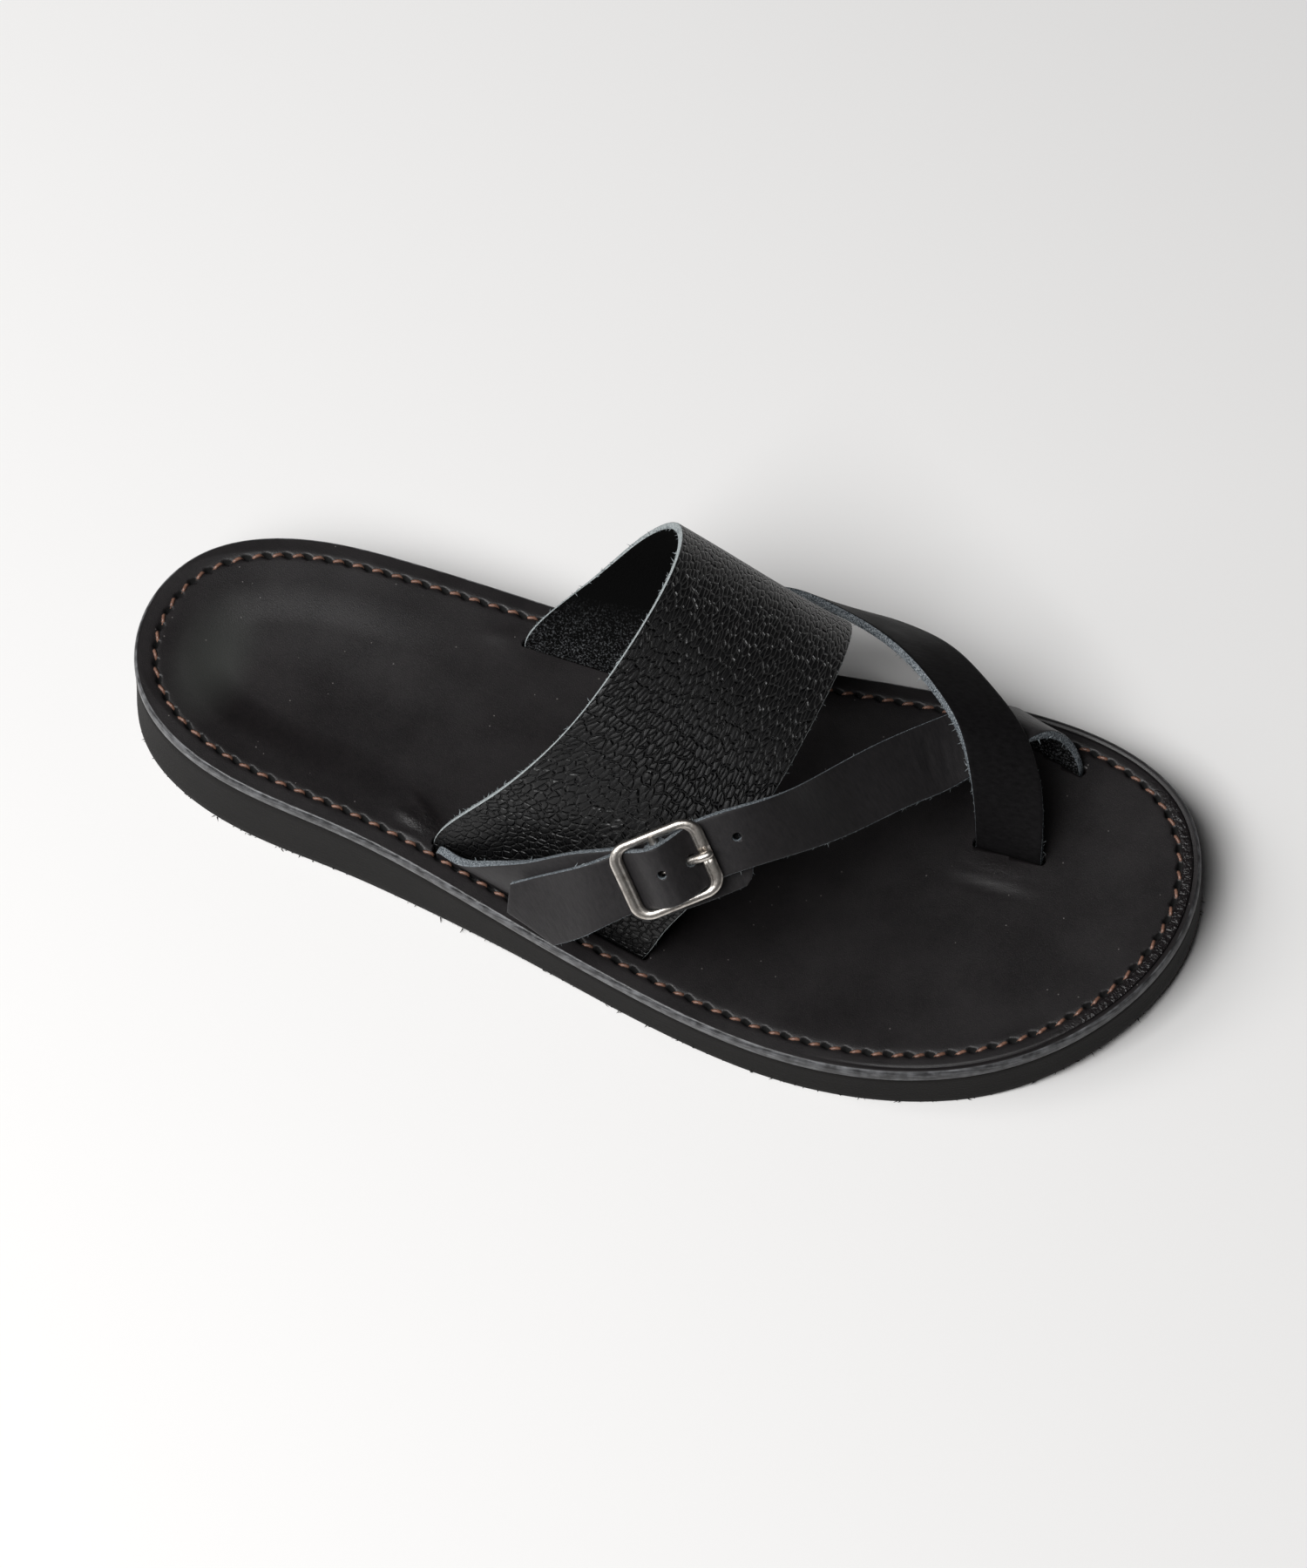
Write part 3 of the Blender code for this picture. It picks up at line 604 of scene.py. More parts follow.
@dataclass(frozen=True)
class SpongeRubber(Finish):
    """Black sponge rubber, ground to shape on a belt: matt, with tiny open cells and level grinding marks."""

    specular: float = 0.25
    cell: float = 0.45
    mark: float = 0.5
    mark_stretch: float = 0.08
    depth: float = 0.12
    patch: float = 11.1111
    dusty: str = "#1c1a19"

    def dress(self, tree: Tree, shader: Node) -> None:
        """Add open cells, grinding marks and a dusty cast in patches.

        Args:
            tree: Tree of the material.
            shader: Its shader.
        """
        place = add_node(tree, "ShaderNodeTexCoord").outputs["Object"]
        cells = add_node(tree, "ShaderNodeTexVoronoi", {
            "Vector": place, "Scale": 1 / (self.cell * MM)}, feature="SMOOTH_F1")
        level = add_node(tree, "ShaderNodeMapping", {
            "Vector": place, "Scale": (self.mark_stretch, self.mark_stretch, 1.0)})
        marks = add_node(tree, "ShaderNodeTexNoise", {
            "Vector": level, "Scale": 1 / (self.mark * MM), "Detail": 4.0})
        height = add_node(tree, "ShaderNodeMath", {0: cells, 1: marks})
        bump = add_node(tree, "ShaderNodeBump", {
            "Height": height, "Distance": self.depth * MM, "Strength": 0.7})
        patches = add_node(tree, "ShaderNodeTexNoise", {
            "Vector": place, "Scale": 1 / (self.patch * MM), "Detail": 5.0})
        tone = add_node(tree, "ShaderNodeMix", {
            "Factor": patches, 6: linear(self.colour), 7: linear(self.dusty)}, data_type="RGBA")
        feed(tree, shader, {"Normal": bump, "Base Color": tone.outputs[2]})


@dataclass(frozen=True)
class TumbledNickel(Finish):
    """Nickel-plated casting, tumbled dull: warm silver with fine dents and a darker patina in patches."""

    dent: float = 0.8
    depth: float = 0.10
    spot: float = 2.4
    patina: str = "#857e76"
    patina_span: tuple[float, float] = (0.45, 0.75)
    gloss_span: tuple[float, float] = (-0.08, 0.14)

    def dress(self, tree: Tree, shader: Node) -> None:
        """Add patina patches, dents and uneven gloss.

        Args:
            tree: Tree of the material.
            shader: Its shader.
        """
        place = add_node(tree, "ShaderNodeTexCoord").outputs["Object"]
        dents = add_node(tree, "ShaderNodeTexNoise", {
            "Vector": place, "Scale": 1 / (self.dent * MM), "Detail": 4.0})
        bump = add_node(tree, "ShaderNodeBump", {
            "Height": dents, "Distance": self.depth * MM, "Strength": 0.5})
        spots = add_node(tree, "ShaderNodeTexNoise", {
            "Vector": place, "Scale": 1 / (self.spot * MM), "Detail": 5.0})
        share = add_node(tree, "ShaderNodeMapRange", {
            "Value": spots, "From Min": self.patina_span[0], "From Max": self.patina_span[1]})
        tone = add_node(tree, "ShaderNodeMix", {
            "Factor": share, 6: linear(self.colour), 7: linear(self.patina)}, data_type="RGBA")
        glossy, dull = (self.roughness + change for change in self.gloss_span)
        gloss = add_node(tree, "ShaderNodeMapRange", {"Value": spots, "To Min": glossy, "To Max": dull})
        feed(tree, shader, {
            "Normal": bump, "Base Color": tone.outputs[2], "Roughness": gloss, "Metallic": 1.0})


@dataclass(frozen=True)
class WaxedThread(Finish):
    """Waxed polyester thread: copper brown, slightly glossy, darker where the wax holds dirt."""

    dirt: float = 1.2
    dark: str = "#4a3026"

    def dress(self, tree: Tree, shader: Node) -> None:
        """Add darker stretches along the seam.

        Args:
            tree: Tree of the material.
            shader: Its shader.
        """
        place = add_node(tree, "ShaderNodeTexCoord").outputs["Object"]
        dirt = add_node(tree, "ShaderNodeTexNoise", {
            "Vector": place, "Scale": 1 / (self.dirt * MM), "Detail": 3.0})
        tone = add_node(tree, "ShaderNodeMix", {
            "Factor": dirt, 6: linear(self.colour), 7: linear(self.dark)}, data_type="RGBA")
        feed(tree, shader, {"Base Color": tone.outputs[2]})


PEBBLED = PebbledLeather("pebbled black leather", "#080809", 0.36)
STRAP = SmoothLeather("smooth black strap leather", "#232223", 0.44)
# The cross strap's leather: a darker, less glossy copy of the strap leather, as painted shade.
SHADED_STRAP = SmoothLeather("oiled black strap leather", "#0e0d0e", 0.50, specular=0.08, worn="#1e1d1e")
CUT_EDGE = RawLeather("raw cut leather edge", "#3f464c", 0.9, pale="#b2b9be", lit=(0.42, 0.68))
BAND_EDGE = RawLeather("raw cut band edge", "#8d9698", 0.9, pale="#dfe4e4")
FRAY = RawLeather("frayed leather fibre", "#7c8488", 0.9, pale="#c4cbcd")
# The flesh side's pale tips fade out from 21 to 34 mm up: painted shade on its upper part.
FLESH = RawLeather("leather flesh side", "#040404", 0.95, fibre=0.5, pale="#7b7d80", lit=(0.52, 0.68),
                   shaded_above=(21.0, 34.0))
FOOTBED_TOP = FootbedLeather("waxed footbed leather", "#161415", 0.44)
FOOTBED_EDGE = BurnishedEdge("burnished leather edge", "#222224", 0.32)
SOLE = SpongeRubber("ground sponge rubber", "#100f0e", 0.82)
NICKEL = TumbledNickel("tumbled nickel", "#dad4cd", 0.33)
THREAD = WaxedThread("waxed brown thread", "#a47c6a", 0.30)
FLOOR = Finish("matt white floor", "#fcfbfa", 0.9, specular=0.1)


@dataclass(frozen=True)
class Crease:
    """Soft ridge, or trough where its height is negative, between two places of a sheet."""

    start: tuple[float, float]
    end: tuple[float, float]
    width: float
    height: float
    end_share: float = 0.25  # share of the height that is left at its ends

    def lift(self, places: Array) -> Array:
        """Work out the crease's height.

        Args:
            places: Places of the sheet.

        Returns:
            Height at each place.
        """
        start, run = np.array(self.start), np.array(self.end) - np.array(self.start)
        share = np.clip(((places - start) @ run) / (run @ run), 0.0, 1.0)
        gap = np.linalg.norm(places - start - share[..., None] * run, axis=-1)
        taper = self.end_share + (1 - self.end_share) * np.sin(math.pi * share)
        return self.height * taper * np.exp(-(gap / self.width) ** 2)


# The plan that all pieces share


@dataclass
class Plan:
    """Outline and side view of the sandal, the thickness of its leather and the slots in its footbed."""

    outline: Rows = (  # along, across
        (-126.0, 1.0),
        (-119.0, -19.0),
        (-100.0, -31.5),
        (-60.0, -37.0),
        (-18.0, -43.5),
        (22.0, -50.5),
        (58.0, -53.5),
        (88.0, -48.5),
        (112.0, -36.5),
        (130.0, -17.0),
        (139.0, 12.0),
        (129.0, 40.0),
        (108.0, 51.5),
        (80.0, 53.5),
        (40.0, 48.5),
        (0.0, 42.0),
        (-40.0, 38.5),
        (-72.0, 37.0),
        (-101.0, 32.5),
        (-119.5, 20.5),
    )
    toe_row: int = 10
    profile: Rows = (  # along, underside, rim of the footbed, dish below the rim, flare of the lower edge
        (-126.0, 1.0, 27.2, 0.0, 1.7),
        (-114.0, 0.0, 26.6, 1.2, 0.8),
        (-88.0, 0.0, 25.2, 2.0, 0.2),
        (-50.0, 0.0, 22.5, 1.2, 0.2),
        (-12.0, 1.2, 17.6, 0.6, 0.0),
        (25.0, 0.0, 14.0, 0.8, 0.3),
        (62.0, 0.0, 13.0, 1.2, 0.7),
        (100.0, 0.0, 13.8, 0.8, 0.9),
        (139.0, 4.0, 17.5, 0.0, 0.9),
    )
    edge_swell: float = 0.5
    dish_reach: float = 0.85
    footbed_thickness: float = 3.5
    band_thickness: float = 2.0
    strap_thickness: float = 2.2
    slots: dict[Slot, tuple[float, ...]] = field(default_factory=lambda: {  # rear x, y, front x, y
        Slot.OUTER: (-37.5, -31.5, 19.5, -40.5),
        Slot.INNER: (-36.5, 27.0, 22.5, 31.0),
        Slot.BETWEEN_TOES: (84.0, 16.0, 100.5, 16.0),
        Slot.BIG_TOE_SIDE: (87.0, 46.5, 102.0, 42.0),
    })
    beside_band: dict[Slot, tuple[float, float]] = field(default_factory=lambda: {  # share of start, of end
        Slot.OUTER: (0.03, 0.72),
        Slot.INNER: (0.10, 0.72),
    })
    slot_clearance: float = 0.2
    slot_depth: float = 12.0
    slot_headroom: float = 6.0
    slot_end_round: float = 0.6
    slot_end_steps: int = 10
    leg_depth: float = 3.2
    side_points: int = 640
    fine_steps: int = 3000

    def __post_init__(self) -> None:
        """Work out the ring of points round the outline and the shift to the frame's origin."""
        rows = np.array(self.outline)
        wrap = 4
        chain = np.concatenate([rows[-wrap:], rows, rows[:wrap + 1]])
        knots = travelled(chain)
        sides = []
        for first, last in ((0, self.toe_row), (self.toe_row, len(rows))):
            reach = np.linspace(knots[wrap + first], knots[wrap + last], self.fine_steps)
            fine = cubic(knots, chain, reach)
            length = travelled(fine)
            even = np.linspace(0.0, length[-1], self.side_points)
            sides.append(np.stack([np.interp(even, length, fine[:, k]) for k in (0, 1)], axis=1)[:-1])
        self.ring = np.concatenate(sides)
        run = np.roll(self.ring, -1, axis=0) - np.roll(self.ring, 1, axis=0)
        self.away = np.stack([run[:, 1], -run[:, 0]], axis=1) / np.linalg.norm(run, axis=1)[:, None]
        self.ring = self.ring + self.away * self.edge_swell
        low, high = (np.array(corner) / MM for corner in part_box("footbed"))
        middle = (self.ring.min(axis=0) + self.ring.max(axis=0)) / 2
        self.origin = np.array([*(middle - (low + high)[:2] / 2), 0.0])
        half = self.side_points - 1
        self.outer_side = self.ring[:half + 1]
        self.inner_side = np.roll(self.ring, -half, axis=0)[:half + 1][::-1].copy()
        self.inner_side[0] = self.ring[0]
        self.finder = KDTree(len(self.ring))
        for number, (x, y) in enumerate(self.ring):
            self.finder.insert((x, y, 0.0), number)
        self.finder.balance()

    def inset(self, distance: float) -> Array:
        """The outline moved inward by a distance."""
        return self.ring - self.away * distance

    def edge_distance(self, places: Array) -> Array:
        """Distance from places of the plan to the outline."""
        return np.array([self.finder.find((x, y, 0.0))[2] for x, y in places])

    def read(self, x: Array, first: int, last: int) -> Array:
        """Read columns of the side view.

        Args:
            x: Places along the foot.
            first: Number of the first column.
            last: Number after the last column.

        Returns:
            One row of the columns per place.
        """
        rows = np.array(self.profile)
        x = np.clip(np.asarray(x, float), rows[0, 0], rows[-1, 0])
        return cubic(rows[:, 0], rows[:, first:last], x)

    def rim(self, x: Array) -> Array:
        """Height of the footbed's rim at places along the foot."""
        return self.read(np.atleast_1d(x), 2, 3)[:, 0]

    def flare(self, x: Array) -> Array:
        """How far the sole's lower edge stands out at places along the foot."""
        return self.read(x, 4, 5)[:, 0]

    def underside(self, x: Array) -> Array:
        """Work out the sole's underside, flat below heel and forefoot.

        Args:
            x: Places along the foot.

        Returns:
            Its height at each place.
        """
        rows = np.array(self.profile)
        x = np.clip(np.asarray(x, float), rows[0, 0], rows[-1, 0])
        i = np.clip(np.searchsorted(rows[:, 0], x, side="right") - 1, 0, len(rows) - 2)
        share = smooth_step(rows[i, 0], rows[i + 1, 0], x)
        return rows[i, 1] + (rows[i + 1, 1] - rows[i, 1]) * share

    def top(self, places: Array) -> Array:
        """Work out the footbed's plain upper face.

        Args:
            places: Places of the plan.

        Returns:
            Its height at each place.
        """
        x, y = places[:, 0], places[:, 1]
        outer = np.interp(x, self.outer_side[:, 0], self.outer_side[:, 1])
        inner = np.interp(x, self.inner_side[:, 0], self.inner_side[:, 1])
        spread = np.abs(2 * (y - outer) / np.maximum(inner - outer, 1e-6) - 1)
        rim, dish = self.read(x, 2, 4).T
        return rim - dish * np.clip(1.0 - (spread / self.dish_reach) ** 2, 0.0, 1.0)

    def slot_axes(self, slot: Slot) -> tuple[Array, Array]:
        """Directions along a slot, toeward, and across it, away from the foot.

        Args:
            slot: The slot.

        Returns:
            Two unit vectors of the plan.
        """
        rear, front = np.array(self.slots[slot]).reshape(2, 2)
        run = (front - rear) / np.linalg.norm(front - rear)
        return run, np.array((-run[1], run[0])) * math.copysign(1.0, rear[1])

    def slot_point(self, slot: Slot, share: float, aside: float = 0.0) -> Array:
        """Find a point on a slot's line at the rim's height.

        Args:
            slot: The slot.
            share: Share of the way from its rear to its front.
            aside: How far the point is moved away from the foot.

        Returns:
            The point.
        """
        rear, front = np.array(self.slots[slot]).reshape(2, 2)
        x, y = rear + (front - rear) * share + self.slot_axes(slot)[1] * aside
        return np.array((x, y, float(self.rim(x)[0])))

    def leg(self, slot: Slot, shares: tuple[float, float] = (0.0, 1.0), aside: float = 0.0) -> list[Array]:
        """Take a strap's end straight down through its slot.

        Args:
            slot: The slot.
            shares: Shares of the slot's line where the strap starts and ends.
            aside: How far the strap lies away from the foot.

        Returns:
            Rows of the strap from its end to the surface.
        """
        rear, front = (self.slot_point(slot, share, aside) for share in shares)
        rows = []
        for depth in (self.leg_depth, self.leg_depth / 2, 0.0):
            down = np.array((0.0, 0.0, depth))
            rows.append(np.concatenate([rear - down, front - down]))
        return rows

    def slot_cutter(self, slot: Slot, shares: tuple[float, float], inward: float, outward: float) -> Piece:
        """Make a prism with round ends that cuts a slot.

        Args:
            slot: The slot that is cut.
            shares: Shares of the slot's line where the prism starts and ends.
            inward: Reach towards the foot.
            outward: Reach away from the foot.

        Returns:
            The cutter, which cut() removes.
        """
        rear, front = (self.slot_point(slot, share)[:2] for share in shares)
        run, side = self.slot_axes(slot)
        middle, radius = (outward - inward) / 2, (outward + inward) / 2
        outline = []
        for centre, turn in ((front, 0.0), (rear, math.pi)):
            for step in range(self.slot_end_steps + 1):
                angle = turn - math.pi / 2 + math.pi * step / self.slot_end_steps
                along = math.cos(angle) * radius * self.slot_end_round
                along += math.copysign(self.slot_clearance, math.cos(turn))
                outline.append(centre + side * (middle + radius * math.sin(angle)) + run * along)
        heights = self.rim([x for x, _ in outline])
        points = []
        for shift in (self.slot_headroom, -self.slot_depth):
            points += [(*p, z + shift) for p, z in zip(outline, heights)]
        return publish(f"{slot.value} cutter", points, tube_faces(2, len(outline)), self, [FLESH])


def publish(name: str, points: Array | list, faces: Faces, plan: Plan, finishes: list[Finish],
            slots: list[int] | None = None, flat: Array | None = None,
            marks: dict[str, Array] | None = None, sharp: float = 60.0) -> Piece:
    """Make a closed mesh object, with its place in its mesh.

    Args:
        name: Name of the piece.
        points: Points in millimetres of the plan.
        faces: Corner numbers of each face.
        plan: Gives the shift from the plan to the frame.
        finishes: Finishes of the piece, in the order of its slots.
        slots: Number of the finish of each face.
        flat: Place of each point on the flat hide, in millimetres, for the UV map.
        marks: Named numbers for each point that materials read.
        sharp: Angle in degrees from which an edge stays sharp.

    Returns:
        The new object.
    """
    mesh = bpy.data.meshes.new(name)
    placed = (np.asarray(points, float) - plan.origin) * MM
    mesh.from_pydata(placed.tolist(), [], faces)
    for finish in finishes:
        mesh.materials.append(finish.material())
    if slots is not None:
        mesh.polygons.foreach_set("material_index", np.asarray(slots, np.int32))
    for mark, values in (marks or {}).items():
        mesh.attributes.new(mark, "FLOAT", "POINT").data.foreach_set("value", np.asarray(values, np.float32))
    if flat is not None:
        corners = np.empty(len(mesh.loops), np.int32)
        mesh.loops.foreach_get("vertex_index", corners)
        layer = mesh.uv_layers.new(name="hide")
        layer.uv.foreach_set("vector", (np.asarray(flat)[corners] * MM).astype(np.float32).ravel())
    shape = bmesh.new()
    shape.from_mesh(mesh)
    bmesh.ops.recalc_face_normals(shape, faces=shape.faces)
    shape.to_mesh(mesh)
    shape.free()
    mesh.shade_smooth()
    mesh.set_sharp_from_angle(angle=math.radians(sharp))
    return add_object(name, mesh)


def present(made: Piece, node: str) -> None:
    """Let a finished piece ride on the sandal in place of a node.

    Args:
        made: The piece.
        node: Node that it stands for.
    """
    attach(made, "root")
    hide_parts(node)
    LOG.info("%s stands for %s with %d triangles", made.name, node, count_triangles(made))


# Sole and footbed


class RingMesh:
    """Points and faces of a body that is built from rings round the outline and rungs across it."""

    def __init__(self, plan: Plan) -> None:
        """Start an empty body.

        Args:
            plan: Gives the number of points of a ring.
        """
        self.points: list[Array] = []
        self.faces: Faces = []
        self.slots: list[int] = []
        self.count = 0
        self.around = len(plan.ring)

    def add(self, places: Array, heights: Array) -> int:
        """Add points.

        Args:
            places: Places of the plan.
            heights: Height at each of them.

        Returns:
            Number of the first point.
        """
        first = self.count
        self.points.append(np.column_stack([places, heights]))
        self.count += len(places)
        return first

    def strip(self, lower: int, upper: int, slot: int) -> None:
        """Close the strip between two rings.

        Args:
            lower: Number of the lower ring's first point.
            upper: Number of the upper ring's first point.
            slot: Number of the finish.
        """
        for i in range(self.around):
            j = (i + 1) % self.around
            self.faces.append((lower + i, lower + j, upper + j, upper + i))
            self.slots.append(slot)

    def fill(self, ring: int, columns: int, height: Callable[[Array], Array], slot: int) -> Array:
        """Fill a ring with rungs from its outer to its inner side.

        Args:
            ring: Number of the ring's first point.
            columns: Faces across the sandal.
            height: Function of plan places that gives their heights.
            slot: Number of the finish.

        Returns:
            Plan places of the added points.
        """
        half = self.around // 2
        edge = np.concatenate(self.points)[ring:ring + self.around, :2]
        outer = np.arange(half + 1)
        inner = (self.around - outer) % self.around
        shares = np.linspace(0.0, 1.0, columns + 1)[1:-1]
        near, far = edge[outer[1:-1]], edge[inner[1:-1]]
        places = (near[:, None] + (far - near)[:, None] * shares[None, :, None]).reshape(-1, 2)
        first = self.add(places, height(places))
        table = np.empty((half + 1, columns + 1), int)
        table[:, 0], table[:, -1] = ring + outer, ring + inner
        table[1:-1, 1:-1] = first + np.arange(len(places)).reshape(half - 1, columns - 1)
        table[0, :], table[-1, :] = ring, ring + half
        for i in range(half):
            for j in range(columns):
                corners = (table[i, j], table[i, j + 1], table[i + 1, j + 1], table[i + 1, j])
                self.faces.append(tuple(dict.fromkeys(int(c) for c in corners)))
                self.slots.append(slot)
        return places


@dataclass
class Outsole:
    """Wedge of sponge rubber below the footbed."""

    plan: Plan
    seam_gap: float = 0.06
    wall_rows: Rows = (  # share of the way down, inset, share of the flare
        (0.0, 0.9, 0.0),
        (0.0, 0.25, 0.0),
        (0.025, 0.0, 0.0),
        (0.15, 0.0, 0.1),
        (0.35, 0.05, 0.3),
        (0.6, 0.05, 0.6),
        (0.85, 0.0, 0.9),
        (0.97, 0.0, 1.0),
        (1.0, 0.35, 1.0),
    )
    columns: int = 24
    burr_height: float = 0.25

    def build(self) -> None:
        """Make the sole with slot pockets left closed, since the footbed covers them."""
        plan, body = self.plan, RingMesh(self.plan)
        drop = plan.footbed_thickness + self.seam_gap
        x = plan.ring[:, 0]
        top, bottom = plan.rim(x) - drop, plan.underside(x)
        rings = []
        for share, inset, flare in self.wall_rows:
            places = plan.inset(inset) + plan.away * (plan.flare(x) * flare)[:, None]
            rings.append(body.add(places, top + (bottom - top) * share))
        for upper, lower in zip(rings, rings[1:]):
            body.strip(lower, upper, 0)
        body.fill(rings[0], self.columns, lambda places: plan.top(places) - drop, 0)
        body.fill(rings[-1], self.columns, lambda places: plan.underside(places[:, 0]), 0)
        made = publish("sole_wedge", np.concatenate(body.points), body.faces, plan, [SOLE], body.slots)
        present(made, "outsole")

    def burr_path(self) -> Array:
        """Find the lower edge of the sole, which the ground rubber frays along.

        Returns:
            Points of the edge.
        """
        plan = self.plan
        x = plan.ring[:, 0]
        places = plan.ring + plan.away * plan.flare(x)[:, None]
        return np.column_stack([places, plan.underside(x) + self.burr_height])


@dataclass
class Footbed:
    """Leather footbed with a stitched rim, a heel cup, slots and the creases by them."""

    plan: Plan
    edge_rows: Rows = (  # inset, drop below the rim
        (0.7, 3.5),
        (0.15, 3.42),
        (0.0, 3.1),
        (0.0, 2.2),
        (0.03, 1.4),
        (0.14, 0.85),
        (0.34, 0.42),
        (0.58, 0.15),
        (0.85, 0.0),
    )
    top_insets: tuple[float, ...] = (  # close together where the rand line and the seam run
        1.05, 1.35, 1.65, 1.9, 2.15, 2.4, 2.7, 3.05, 3.4, 3.75, 4.1, 4.4, 4.7, 5.0, 5.25, 5.5, 5.75, 6.0, 6.3,
        6.7, 7.3, 8.2, 9.2, 10.4)
    columns: int = 60
    columns_below: int = 6
    seam_inset: float = 5.2
    seam_pitch: float = 5.0
    seam_width: float = 0.75
    seam_depth: float = 0.22
    rand_inset: float = 1.9
    rand_width: float = 0.3
    rand_depth: float = 0.35
    rand_start: tuple[float, float] = (60.0, 100.0)  # where along the foot the rand line begins and is full
    hole_length: float = 0.95
    hole_width: float = 0.55
    hole_aside: float = 0.1
    hole_depth: float = 1.4
    hole_slant: float = math.radians(20)
    hole_steepness: int = 6
    heel_cup: tuple[float, float, float] = (12.0, 23.0, 1.3)  # inset of its start, inset of its floor, depth
    heel_cup_end: tuple[float, float] = (-45.0, -80.0)
    inner_shallow: tuple[float, float, float] = (0.0, 24.0, 0.55)  # start and end across, depth taken off
    creases: tuple[Crease, ...] = (
        Crease((81.0, 7.1), (102.0, 7.6), 1.3, 0.34),
        Crease((81.0, 5.2), (99.0, 5.4), 1.4, -0.20),
        Crease((84.0, 11.4), (100.0, 11.4), 3.0, 0.40),
        Crease((-38.5, -29.0), (-48.5, -24.8), 3.4, 0.75),
        Crease((-39.5, -27.0), (-47.5, -21.5), 1.0, 0.30),
        Crease((-40.5, -29.5), (-50.0, -27.0), 0.9, 0.30),
        Crease((-40.5, -32.5), (-48.0, -32.5), 1.0, 0.25),
        Crease((-39.0, 28.0), (-47.0, 25.0), 2.2, 0.25),
    )
    puckers: Rows = (  # along, across, reach along, reach across, strength
        (-42.0, -28.2, 7.5, 4.6, 0.30),
        (92.0, 11.0, 10.0, 3.2, 0.20),
    )
    pucker_core: float = 0.3  # share of the reach with the full strength
    crinkled_toe: tuple[float, float] = (112.0, 132.0)  # where along the foot the rim starts to crinkle
    crinkle_margin: float = 0.5

    def seam_points(self) -> tuple[Array, Array]:
        """Points of the seam's line and the length travelled to each, the first one again at the end."""
        line = self.plan.inset(self.seam_inset)
        return line, travelled(np.concatenate([line, line[:1]]))

    def stitch_count(self) -> int:
        """Whole number of stitches round the seam."""
        return round(self.seam_points()[1][-1] / self.seam_pitch)

    def relief(self, places: Array, inset: float | None = None) -> Array:
        """Work out heel cup, creases, rand line and seam channel.

        Args:
            places: Places of the plan.
            inset: Distance of all the places from the outline, if they are a ring.

        Returns:
            Height above the plain face at each place.
        """
        start, full, depth = self.heel_cup
        inner_start, inner_end, taken = self.inner_shallow
        inside = self.plan.edge_distance(places)
        x, y = places.T
        shallow = 1.0 - taken * smooth_step(inner_start, inner_end, y)
        lift = -depth * shallow * smooth_step(start, full, inside) * smooth_step(*self.heel_cup_end, x)
        for crease in self.creases:
            lift = lift + crease.lift(places)
        if inset is not None:
            lift = lift - self.seam_depth * math.exp(-((inset - self.seam_inset) / self.seam_width) ** 2)
            rand = self.rand_depth * smooth_step(*self.rand_start, x)
            lift = lift - rand * math.exp(-((inset - self.rand_inset) / self.rand_width) ** 2)
        return lift

    def holes(self, inset: float) -> Array:
        """Work out the awl holes on a ring.

        Args:
            inset: Distance of the ring from the outline.

        Returns:
            Share of the holes' depth at each point.
        """
        _, length = self.seam_points()
        pitch = length[-1] / self.stitch_count()
        along = pitch * (length[:-1] / pitch % 1.0 - 0.5)
        across = inset - self.seam_inset - self.hole_aside
        cosine, sine = math.cos(self.hole_slant), math.sin(self.hole_slant)
        run, side = along * cosine - across * sine, along * sine + across * cosine
        steep = self.hole_steepness
        return np.exp(-(run / self.hole_length) ** steep - (side / self.hole_width) ** steep)

    def crinkles(self, places: Array, inset: float | None = None) -> Array:
        """Work out where the leather is crinkled: at the toe's rim outside the seam, and by the slots.

        Args:
            places: Places of the plan.
            inset: Distance of all the places from the outline, if they are a ring.

        Returns:
            Strength at each place.
        """
        strength = np.zeros(len(places))
        for x, y, along, across, most in self.puckers:
            reach = np.hypot((places[:, 0] - x) / along, (places[:, 1] - y) / across)
            strength = np.maximum(strength, most * (1 - smooth_step(self.pucker_core, 1.0, reach)))
        if inset is not None and self.rand_inset < inset < self.seam_inset - self.crinkle_margin:
            strength = np.maximum(strength, smooth_step(*self.crinkled_toe, places[:, 0]))
        return strength

    def build(self) -> None:
        """Make the footbed and cut its slots."""
        plan, body = self.plan, RingMesh(self.plan)
        rings, awl, rim = [], [], []
        for inset, drop in self.edge_rows:
            rings.append(body.add(plan.inset(inset), plan.top(plan.ring) - drop))
            awl.append(np.zeros(body.around))
            rim.append(np.zeros(body.around))
        for inset in self.top_insets:
            places = plan.inset(inset)
            depth = self.holes(inset)
            heights = plan.top(places) + self.relief(places, inset) - self.hole_depth * depth
            rings.append(body.add(places, heights))
            awl.append(depth)
            rim.append(self.crinkles(places, inset))
        edge_strips = len(self.edge_rows) - 1
        for number, (lower, upper) in enumerate(zip(rings, rings[1:])):
            body.strip(lower, upper, int(number < edge_strips))
        filled = body.fill(rings[-1], self.columns, lambda p: plan.top(p) + self.relief(p), 0)
        below = body.fill(rings[0], self.columns_below, lambda p: plan.top(p) - plan.footbed_thickness, 1)
        awl.append(np.zeros(len(filled) + len(below)))
        rim += [self.crinkles(filled), np.zeros(len(below))]
        marks = {"awl": np.concatenate(awl), "crinkle": np.concatenate(rim)}
        made = publish("footbed_leather", np.concatenate(body.points), body.faces, plan,
                       [FOOTBED_TOP, FOOTBED_EDGE], body.slots, marks=marks)
        for slot in Slot:
            shares = plan.beside_band.get(slot)
            leather = plan.band_thickness if shares else plan.strap_thickness
            reach = leather / 2 + plan.slot_clearance
            cut(made, plan.slot_cutter(slot, (0.0, 1.0), reach, reach))
            if shares:
                cut(made, plan.slot_cutter(slot, shares, reach, reach + plan.strap_thickness))
        present(made, "footbed")


# Band and straps


